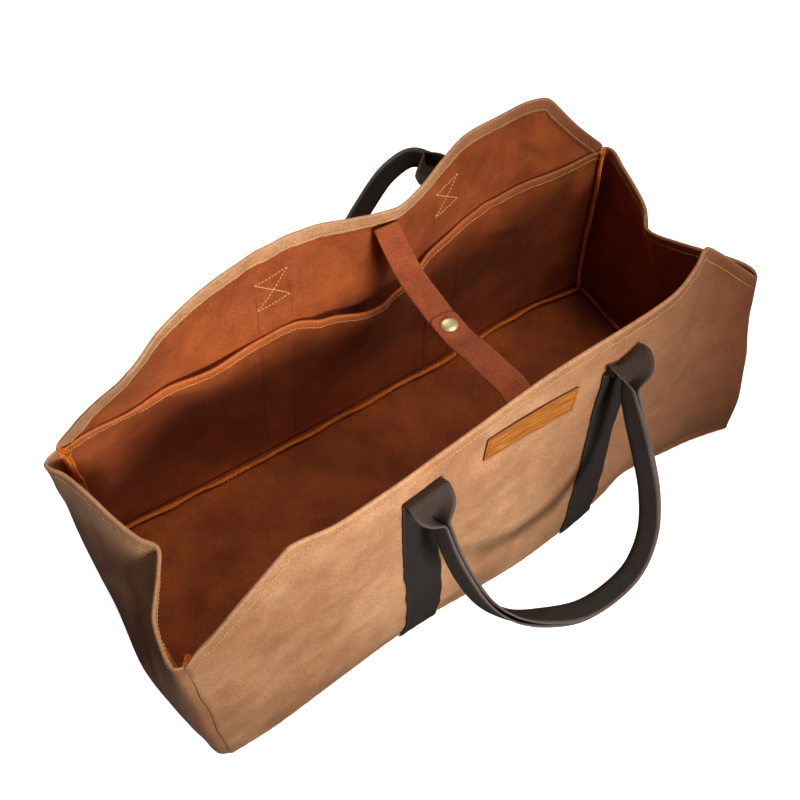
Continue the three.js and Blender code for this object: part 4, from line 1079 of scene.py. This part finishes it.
def webbing_material():
    m = Recipe("black herringbone webbing")
    where = m.node("ShaderNodeUVMap", {"uv_map": "cloth"}).outputs[0]
    edge = m.node("ShaderNodeAttribute", {"attribute_name": "edge"}).outputs["Fac"]
    hood = m.node("ShaderNodeAttribute", {"attribute_name": "hood"}).outputs["Fac"]
    parts = m.node("ShaderNodeSeparateXYZ", Vector=where)
    fuzz = m.noise(where, 900, 3, 0.7)
    cloud = m.noise(where, 30, 3, 0.6)
    zigzag = m.sums("PINGPONG", parts.outputs[1], 0.0038)
    twill = m.sums("SINE", m.sums("MULTIPLY", m.sums("ADD", parts.outputs[0], zigzag),
                                  2 * math.pi / 0.0019))
    cross = m.sums("SINE", m.sums("MULTIPLY", parts.outputs[0], 2 * math.pi / 0.0008))
    height = m.sums("ADD", m.sums("MULTIPLY", twill, 0.5), m.sums("MULTIPLY", cross, 0.12))
    height = m.sums("ADD", height, fuzz)
    bump = m.node("ShaderNodeBump", Height=height, Strength=0.8, Distance=0.00035)
    # Painted light and shade: the same webbing is painted lighter, with stronger ribs, on the hoods
    # that turn up to the light. It is painted darker on the legs and grip.
    rib = m.sums("MULTIPLY", twill, m.spread(hood, 0, 1, 0.14, 0.36))
    shade = m.sums("ADD", rib, m.spread(fuzz, 0.35, 0.65, -0.2, 0.25))
    shade = m.sums("ADD", shade, m.spread(cloud, 0.3, 0.7, 0.85, 1.15))
    grey = m.node("ShaderNodeCombineColor", Red=shade, Green=shade, Blue=shade).outputs[0]
    black = m.mixed(hood, colour(40, 34, 31), colour(61, 49, 43))
    # Painted highlight: the open edges of the folded grip are painted pale, as where they catch the
    # light; the flat legs get a tenth of it.
    black = m.mixed(edge, black, colour(104, 92, 88))
    m.put(Base_Color=m.mixed(1.0, black, grey, "MULTIPLY"), Roughness=0.82,
          Specular_IOR_Level=0.2, Normal=bump.outputs[0])
    m.put(Sheen_Weight=0.03, Sheen_Roughness=0.6)
    return m.material


def handle_mesh(name, place, side, shift, grip, slope, opening):
    """One handle: a leg up each side of the wall, and the folded grip between them."""
    top = MID_HEIGHT - WALL_BASE - HOOD_BELOW_RIM - WEBBING_THICK
    middle = 2 * shift / LENGTH
    spread = HANDLE_SPREAD / LENGTH
    q = np.linspace(-WEBBING / 2, WEBBING / 2, 33)
    thin = np.sqrt(np.clip(1 - (np.abs(q) / (WEBBING / 2)) ** 16, 0.06, 1))
    clear = CANVAS / 2 + WEBBING_THICK / 2 + 0.00035

    def leg(at_middle, seed, tilt):
        heights = np.linspace(0.0035, top, 132)
        wobble = soft_waves(heights, heights * 0, seed, low=0.012, high=0.05, size=0.0005)
        h, across = np.meshgrid(heights, q, indexing="ij")
        h = h - tilt * eased(h, top - 0.05, top) * (0.5 - across / WEBBING)
        shift_q = across + wobble[:, None]
        flare = 0.0022 * eased(h, 0.03, 0.004) * np.sign(across) * (np.abs(across) / 0.019) ** 2
        at = at_middle + (shift_q + flare) / HALF
        out, normal = place(at, h, clear)
        faces = normal * (thin * WEBBING_THICK / 2)[None, :, None]
        return out, faces

    left, left_face = leg(middle - spread, 3 + side, 0.0012)
    right, right_face = leg(middle + spread, 7 + side, 0.009 if side < 0 else 0.001)
    top_left, top_right = left[-1].mean(0), right[-1].mean(0)

    def crown(points, faces):
        up = unit(points[-1].mean(0) - points[-6].mean(0))
        out = unit(faces[-1][16])
        return [points[-1].mean(0) + up * a * WEBBING_THICK + out * b * WEBBING_THICK
                for a, b in CROWN]

    centre = (top_left[0] + top_right[0]) / 2
    inner = []
    for across, away, fall in grip:
        start = top_left + (top_right - top_left) * (across + 1) / 2
        inner.append([centre + across * HANDLE_SPREAD / 2,
                      start[1] + side * away * GRIP_REACH, start[2] - fall * GRIP_REACH])
    points = crown(left, left_face) + inner + crown(right, right_face)[::-1]
    line, long = smooth_route(points, 340)
    along = unit(np.gradient(line, axis=0))
    share = np.linspace(0, 1, len(line))
    near = np.minimum(share, 1 - share) * long
    fold = np.where(share < 0.5, eased(near, 0.006, 0.037), eased(near, 0.002, 0.031))
    angle = math.radians(slope)
    plane = np.cross([0, side * math.cos(angle), -math.sin(angle)], [1.0, 0, 0])
    flat_left = unit(left[-1][-1] - left[-1][0])
    flat_right = -unit(right[-1][-1] - right[-1][0])
    flat = np.where((share < 0.5)[:, None], flat_left, flat_right)
    inside = flat + (np.cross(plane, along) - flat) * fold[:, None]
    inside = unit(inside - along * (inside * along).sum(-1, keepdims=True))
    face = np.cross(along, inside) * side
    places, degrees = np.array(opening, float).T
    open_way = np.radians(through(places, degrees, share))[:, None]
    v = np.cos(open_way) * inside + np.sin(open_way) * face
    u = np.cos(open_way) * face - np.sin(open_way) * inside
    middles, skins = [], []
    teeth = np.random.default_rng(9 + side).uniform(-1, 1, len(line))
    for i in range(len(line)):
        sq, sv, turn = folded_section(q * (1 + 0.006 * teeth[i]), fold[i])
        shift_v = sv - FOLD_MIDDLE * fold[i]
        middles.append(line[i] + sq[:, None] * u[i] + shift_v[:, None] * v[i])
        normal = np.sin(turn)[:, None] * u[i] - np.cos(turn)[:, None] * v[i]
        skins.append(normal * (thin * WEBBING_THICK / 2)[:, None])
    middles, skins = np.array(middles), np.array(skins)
    middles = np.concatenate([left, middles, right[::-1, ::-1]])
    skins = np.concatenate([left_face, skins, right_face[::-1, ::-1]])
    ring = np.concatenate([middles + skins, (middles - skins)[:, ::-1]], 1)
    run = np.concatenate([[0], np.cumsum(np.linalg.norm(
        np.diff(middles.mean(1), axis=0), axis=1))])
    loop_q = np.concatenate([q, q[::-1]])
    uv = np.stack(np.meshgrid(run, loop_q, indexing="ij"), -1)
    folded = np.concatenate([np.zeros(len(left)), fold, np.zeros(len(right))])
    # edge marks the painted highlight on the open edges, full on the folded grip and a tenth on the
    # flat legs.
    edge = eased(np.abs(loop_q), 0.0160, 0.0172) * (0.1 + 0.9 * folded[:, None])
    # hood marks where the webbing is painted lighter as lit; the legs and grip are painted darker.
    hood = np.concatenate([eased(left[:, 16, 2], top - 0.012, top), eased(near, 0.04, 0.026),
                           eased(right[::-1, 16, 2], top - 0.012, top)])
    hood = np.broadcast_to(hood[:, None], edge.shape)
    order = ring.transpose(1, 0, 2)
    thing = built(name, order.reshape(-1, 3), loop_faces(len(loop_q), len(run)),
                  uv.transpose(1, 0, 2).reshape(-1, 2), {"edge": edge.T, "hood": hood.T})
    thing.data.materials.append(black_webbing)
    return thing, run[-1]


black_webbing = webbing_material()
black_thread = thread_material("black thread", colour(46, 40, 38))
inner_thread = thread_material("rust thread", colour(120, 58, 26))
for node, place, side, shift, grip, slope, opening in (
    ("front_handle", front_at, -1, 0.0, FRONT_GRIP, 45, FRONT_OPEN),
    ("back_handle", back_at, 1, BACK_SHIFT, BACK_GRIP, 80, BACK_OPEN),
):
    band, long = handle_mesh(node + "_webbing", place, side, shift, grip, slope, opening)
    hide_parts(node)
    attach(band, "root")
    behind = -CANVAS / 2 - THREAD_CLEAR
    for leg in (-1, 1):
        middle_x = shift + leg * HANDLE_SPREAD / 2
        for edge_x in (-LEG_STITCH, LEG_STITCH):
            heights = np.linspace(*LEG_STITCHED, 120)
            at = np.full(heights.shape, (middle_x + edge_x) / HALF)
            points, normals = place(at, heights, CANVAS / 2 + WEBBING_THICK + 0.0003)
            tag = f"{'left' if leg < 0 else 'right'}_{'low' if edge_x < 0 else 'high'}"
            row = sewn_row(f"{node}_leg_stitches_{tag}", points, normals, black_thread)
            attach(row, "root")
            if side < 0:
                points, normals = place(at, heights, behind)
            else:
                high = heights > OVER_POCKET
                points, normals = place(at[high], heights[high], behind)
                row = sewn_row(f"{node}_upper_stitches_{tag}", points, -normals, inner_thread)
                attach(row, "root")
                low = heights < UNDER_POCKET
                points, normals = pocket_at(at[low], heights[low] - ROLL_HEIGHT / 2, behind)
            row = sewn_row(f"{node}_inner_stitches_{tag}", points, -normals, inner_thread)
            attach(row, "root")
        low, top = BOX_STITCHED
        corners = [(-LEG_STITCH, top), (LEG_STITCH, top), (-LEG_STITCH, low), (LEG_STITCH, low),
                   (-LEG_STITCH, top), (LEG_STITCH, low)]
        where = np.array([(a[0] + (b[0] - a[0]) * k / 20, a[1] + (b[1] - a[1]) * k / 20)
                          for a, b in zip(corners, corners[1:]) for k in range(20)])
        at = (middle_x + where[:, 0]) / HALF
        points, normals = place(at, where[:, 1], behind)
        row = sewn_row(f"{node}_box_{'left' if leg < 0 else 'right'}", points, -normals,
                       yellow_thread)
        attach(row, "root")

# Closure strap
# Two short lengths of terracotta cotton tape, sewn under the hems in the middle of the long
# walls. Their ends have cut corners and lie one over the other under the snap.

STRAP = 0.025
STRAP_THICK = 0.002
STRAP_OVERLAP = 0.013
STRAP_SHIFT = 0.012
STRAP_PART = 0.00115
TAB_CORNER = 0.005
SNAP_AT = 0.512
# From the back wall to the front wall: share of the way, and depth under the rim as a share
# of MID_HEIGHT
STRAP_LINE = np.array([
    (0, 0.055),
    (0.04, 0.078),
    (0.2, 0.127),
    (0.37, 0.13),
    (0.49, 0.131),
    (0.6, 0.117),
    (0.8, 0.066),
    (0.94, 0.032),
    (1, 0.043),

])


def strap_end(place, side, shift):
    at = np.array([2 * shift / LENGTH])
    height = np.array([MID_HEIGHT - WALL_BASE - HEM - STRAP_THICK])
    point = place(at, height, np.zeros(1))[0][0]
    point[1] -= side * (CANVAS / 2 + STRAP_THICK + 4 * GAP)
    return point


def strap_material():
    m = Recipe("terracotta cotton tape")
    where = m.node("ShaderNodeUVMap", {"uv_map": "cloth"}).outputs[0]
    parts = m.node("ShaderNodeSeparateXYZ", Vector=where)
    speck = m.noise(where, 850, 2, 0.6)
    cloud = m.noise(where, 60, 3, 0.6)
    warp = m.sums("SINE", m.sums("MULTIPLY", parts.outputs[1], 2 * math.pi / 0.0010))
    weft = m.sums("SINE", m.sums("MULTIPLY", parts.outputs[0], 2 * math.pi / 0.0013))
    weave = m.sums("MULTIPLY", warp, weft)
    height = m.sums("ADD", m.sums("MULTIPLY", weave, 0.5), speck)
    bump = m.node("ShaderNodeBump", Height=height, Strength=0.8, Distance=0.0003)
    base = m.mixed(m.spread(cloud, 0.3, 0.7, 0, 1), colour(138, 62, 32), colour(164, 80, 44))
    base = m.mixed(m.spread(speck, 0.56, 0.7, 0, 0.55), base, colour(222, 150, 104))
    base = m.mixed(m.spread(speck, 0.42, 0.3, 0, 0.5), base, colour(98, 40, 20))
    m.put(Base_Color=base, Roughness=0.85, Specular_IOR_Level=0.25, Normal=bump.outputs[0])
    m.put(Sheen_Weight=0.04)
    return m.material


back_end, front_end = strap_end(back_at, 1, STRAP_SHIFT), strap_end(front_at, -1, 0.0)
stops = np.array([back_end + (front_end - back_end) * at for at, _ in STRAP_LINE])
stops[:, 2] = MID_HEIGHT * (1 - STRAP_LINE[:, 1])
strap_line, strap_long = smooth_route(stops, 600)
strap_along = unit(np.gradient(strap_line, axis=0))
strap_across = unit(np.array([1.0, 0, 0]) - strap_along * strap_along[:, :1])
strap_face = np.cross(strap_along, strap_across)
strap_share = np.linspace(0, 1, 600)


def strap_at(share, name):
    source = {"line": strap_line, "across": strap_across, "face": strap_face}[name]
    return np.stack([np.interp(share, strap_share, source[:, k]) for k in range(3)], -1)


terracotta = strap_material()
reach = STRAP_OVERLAP / strap_long
for node, start, stop, level in (
    ("strap_back", 0.0, SNAP_AT + reach, -1), ("strap_front", 1.0, SNAP_AT - reach, 1),
):
    long = abs(stop - start) * strap_long
    from_tab = long * (1 - np.linspace(0, 1, 90)) + 0.0002
    from_tab = np.unique(np.concatenate([from_tab, np.linspace(0.0002, TAB_CORNER, 14)]))[::-1]
    share = stop + (start - stop) * np.clip((from_tab - 0.0002) / long, 0, 1)
    cut = np.clip(TAB_CORNER - from_tab, 0, None)
    cut = TAB_CORNER - np.sqrt(np.clip(TAB_CORNER**2 - cut**2, 0, None))
    half_wide = STRAP / 2 - cut * 0.9
    q = np.linspace(-1, 1, 23)
    thin = np.sqrt(np.clip(1 - np.abs(q) ** 12, 0.08, 1))
    across, face = strap_at(share, "across"), strap_at(share, "face")
    over = 2 * eased(np.minimum(share, 1 - share), 0.1, 0.35) - 1
    middle = strap_at(share, "line") + face * (over * level * STRAP_PART)[:, None]
    swell = soft_waves(from_tab, from_tab * 0, 17 + level, low=0.03, high=0.08, size=0.0004)
    middle = middle + face * (swell * eased(from_tab, 0.01, 0.03))[:, None]
    crown = 0.0005 * (1 - q**2)
    sheet_mid = (middle[:, None] + across[:, None] * (half_wide[:, None] * q)[..., None]
                 + face[:, None] * crown[None, :, None])
    skin = face[:, None] * (thin * STRAP_THICK / 2)[None, :, None]
    ring = np.concatenate([sheet_mid + skin, (sheet_mid - skin)[:, ::-1]], 1).transpose(1, 0, 2)
    run = np.broadcast_to(from_tab, ring.shape[:2])
    wide = np.concatenate([half_wide[:, None] * q, (half_wide[:, None] * q)[:, ::-1]], 1).T
    band = built(node + "_tape", ring.reshape(-1, 3), loop_faces(len(q) * 2, len(from_tab)),
                 np.stack([run, wide], -1).reshape(-1, 2))
    band.data.materials.append(terracotta)
    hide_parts(node)
    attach(band, "root")

# Snap
# A pressed brass cap with a rolled rim on top of the strap, and its stud underneath.
# The two are riveted through the tape.


def brass_material():
    m = Recipe("pale satin brass")
    space = m.node("ShaderNodeTexCoord").outputs["Object"]
    fine_marks = m.noise(space, 900, 3, 0.7)
    m.put(Base_Color=colour(226, 214, 160), Metallic=0.7,
          Roughness=m.spread(fine_marks, 0.3, 0.7, 0.36, 0.5))
    return m.material


def turned(name, profile, offset):
    """Turned piece seated on the strap, its axis along the strap's face."""
    steps = 72
    profile = np.array(profile) / 1000
    angles = np.arange(steps) * 2 * math.pi / steps
    middle = strap_at(SNAP_AT, "line") + strap_at(SNAP_AT, "face") * offset
    across, face = strap_at(SNAP_AT, "across"), strap_at(SNAP_AT, "face")
    side = np.cross(face, across)
    rim = np.cos(angles)[:, None] * across + np.sin(angles)[:, None] * side
    points = middle + profile[:, None, :1] * rim[None] + profile[:, None, 1:] * face
    faces = []
    for r in range(len(profile) - 1):
        for c in range(steps):
            d = (c + 1) % steps
            faces.append((r * steps + c, r * steps + d, (r + 1) * steps + d, (r + 1) * steps + c))
    faces.append(tuple(range(steps))[::-1])
    faces.append(tuple(range((len(profile) - 1) * steps, len(profile) * steps)))
    thing = built(name, points.reshape(-1, 3), faces)
    thing.data.materials.append(brass)
    return thing


brass = brass_material()
cap_profile = [(6.6, 0), (7.2, 0.1), (7.5, 0.45), (7.5, 0.8), (7.2, 1.1), (6.9, 1.15)]
cap_profile += [(7.0 * math.cos(a), 1.15 + 2.0 * math.sin(a)) for a in np.linspace(0.12, 1.5, 16)]
cap = turned("snap_cap_brass", cap_profile, STRAP_THICK + 0.00035)
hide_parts("snap_cap")
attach(cap, "root")
stud = turned("snap_stud_brass", [(2.0, 0), (6.0, 0), (6.0, -1.6), (5.6, -2.2), (4.8, -3.0),
                                  (3.6, -3.0), (3.4, -2.4), (0.4, -2.4)], -STRAP_THICK - 0.0005)
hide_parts("snap_stud")
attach(stud, "root")

# Leather label
# A bare amber leather patch with a pressed border line, flat on the front wall.
# Its surface is streaked along the grain and darker at the cut edge.

LABEL_LENGTH = 0.091
LABEL_HEIGHT = 0.026
LABEL_THICK = 0.0016
LABEL_BELOW_RIM = 0.0295
LABEL_SHIFT = 0.008
LABEL_TILT = math.radians(-7)
BORDER_IN = 0.0027


def leather_material():
    m = Recipe("amber leather")
    where = m.node("ShaderNodeUVMap", {"uv_map": "cloth"}).outputs[0]
    edge = m.node("ShaderNodeAttribute", {"attribute_name": "edge"}).outputs["Fac"]
    streak = m.noise(m.stretched(where, 40, 420), 1, 4, 0.6)
    pores = m.noise(where, 1500, 2, 0.6)
    cloud = m.noise(where, 50, 3, 0.5)
    base = m.mixed(m.spread(streak, 0.36, 0.62, 0, 1), colour(144, 78, 24), colour(204, 134, 58))
    base = m.mixed(m.spread(cloud, 0.3, 0.7, 0, 0.35), base, colour(150, 78, 28))
    base = m.mixed(m.sums("MULTIPLY", edge, 0.95), base, colour(84, 40, 18))
    height = m.sums("ADD", m.sums("MULTIPLY", streak, 0.5), m.sums("MULTIPLY", pores, 0.5))
    bump = m.node("ShaderNodeBump", Height=height, Strength=0.5, Distance=0.0002)
    m.put(Base_Color=base, Roughness=m.spread(streak, 0.3, 0.7, 0.42, 0.6),
          Specular_IOR_Level=0.4, Normal=bump.outputs[0])
    return m.material


def on_label(x, z, off):
    """Point over the label's place: x along it and z up it from its middle."""
    along = LABEL_SHIFT + x * math.cos(LABEL_TILT) - z * math.sin(LABEL_TILT)
    height = (MID_HEIGHT - WALL_BASE - LABEL_BELOW_RIM - LABEL_HEIGHT / 2
              + x * math.sin(LABEL_TILT) + z * math.cos(LABEL_TILT))
    bow = 0.0006 * np.exp(-(((z - LABEL_HEIGHT / 2) / 0.006) ** 2)) * np.cos(x / LABEL_LENGTH * 3)
    return front_at(along / HALF, height, CANVAS / 2 + off + bow)


CORNER = 0.0025
round_steps = CORNER * (1 - np.cos(np.linspace(0, 1.57, 8)))
from_side = np.unique(np.concatenate([
    np.linspace(0, 1, 121) * LABEL_LENGTH, round_steps, LABEL_LENGTH - round_steps,
]))
near_side = np.clip(CORNER - np.minimum(from_side, LABEL_LENGTH - from_side), 0, None)
trim = CORNER - np.sqrt(np.clip(CORNER**2 - near_side**2, 0, None))
half_tall = LABEL_HEIGHT / 2 - trim
across = np.sin(np.linspace(-1, 1, 61) * math.pi / 2)
z = half_tall[None, :] * across[:, None]
x = np.broadcast_to(from_side - LABEL_LENGTH / 2, z.shape)
to_edge = np.minimum(np.minimum(from_side, LABEL_LENGTH - from_side)[None, :],
                     half_tall[None, :] - np.abs(z))
soft_edge = -0.0005 * np.clip(1 - to_edge / 0.0009, 0, 1) ** 2
line_in = -0.00045 * np.exp(-(((to_edge - BORDER_IN) / 0.00042) ** 2))
outer, _ = on_label(x, z, 0.0002 + LABEL_THICK + soft_edge + line_in)
inner, _ = on_label(x[::-1], z[::-1], 0.00015)
points = np.concatenate([outer, inner])
edge = (np.clip(1 - to_edge / 0.0007, 0, 1)
        + 0.7 * np.exp(-(((to_edge - BORDER_IN) / 0.0004) ** 2)))
label = built(
    "leather_label_patch", points.reshape(-1, 3), loop_faces(len(points), len(from_side)),
    np.stack([np.concatenate([x, x[::-1]]), np.concatenate([z, z[::-1]])], -1).reshape(-1, 2),
    {"edge": np.concatenate([np.clip(edge, 0, 1), np.ones(z.shape)])},
)
label.data.materials.append(leather_material())
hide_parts("leather_label")
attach(label, "root")

# Floor, light and camera
# A pale floor, a round key light in front, two softer ones above and behind, and the camera
# high at the front left.


def lamp(name, kind, at, aim, power, tint):
    light = bpy.data.lights.new(name, kind)
    light.energy = power
    light.color = tint
    holder = bpy.data.objects.new(name, light)
    bpy.context.scene.collection.objects.link(holder)
    holder.location = at
    holder.rotation_mode = "QUATERNION"
    holder.rotation_quaternion = (Vector(aim) - Vector(at)).to_track_quat("-Z", "Y")
    return light


floor = built("floor", [(-6, -6, 0), (6, -6, 0), (6, 6, 0), (-6, 6, 0)], [(0, 1, 2, 3)],
              smooth=False)
paper = Recipe("pale floor")
paper.put(Base_Color=(0.9, 0.9, 0.9, 1), Roughness=0.9, Specular_IOR_Level=0.1)
paper.put(Emission_Color=(1, 1, 1, 1), Emission_Strength=0.85)
floor.data.materials.append(paper.material)
floor.location.z = -0.0002
floor.visible_diffuse = False
floor.visible_glossy = False

world = bpy.data.worlds.new("studio")
bpy.context.scene.world = world
world.use_nodes = True
sky = world.node_tree.nodes["Background"].inputs
sky["Color"].default_value = (1, 0.86, 0.74, 1)
sky["Strength"].default_value = 0.08

for name, at, aim, wide, power, tint in (
    ("top light", (0.5, -0.6, 2.0), (-0.05, 0, 0), 0.9, 19, (1, 0.9, 0.78)),
    ("back light", (0.5, 2.1, 1.3), (0, 0.1, 0.15), 1.2, 16, (1, 0.96, 0.92)),
):
    light = lamp(name, "AREA", at, aim, power, tint)
    light.shape = "RECTANGLE"
    light.size = light.size_y = wide
key = lamp("key light", "SPOT", (-0.22, -1.98, 1.2), (-0.1, -0.05, 0.25), 320, (1, 0.97, 0.93))
key.shadow_soft_size = 0.3
key.spot_size = math.radians(21)
key.spot_blend = 1
bpy.context.scene.view_settings.view_transform = "Standard"

camera = bpy.data.cameras.new("camera")
camera.lens = 46.87
camera.sensor_width = 36
camera.clip_start, camera.clip_end = 0.05, 30
view = bpy.data.objects.new("camera", camera)
bpy.context.scene.collection.objects.link(view)
view.location = (-0.32308, -0.41248, 0.95193)
view.rotation_mode = "QUATERNION"
view.rotation_quaternion = Vector((0.3179, 0.4526, -0.8331)).to_track_quat("-Z", "Y")
bpy.context.scene.camera = view
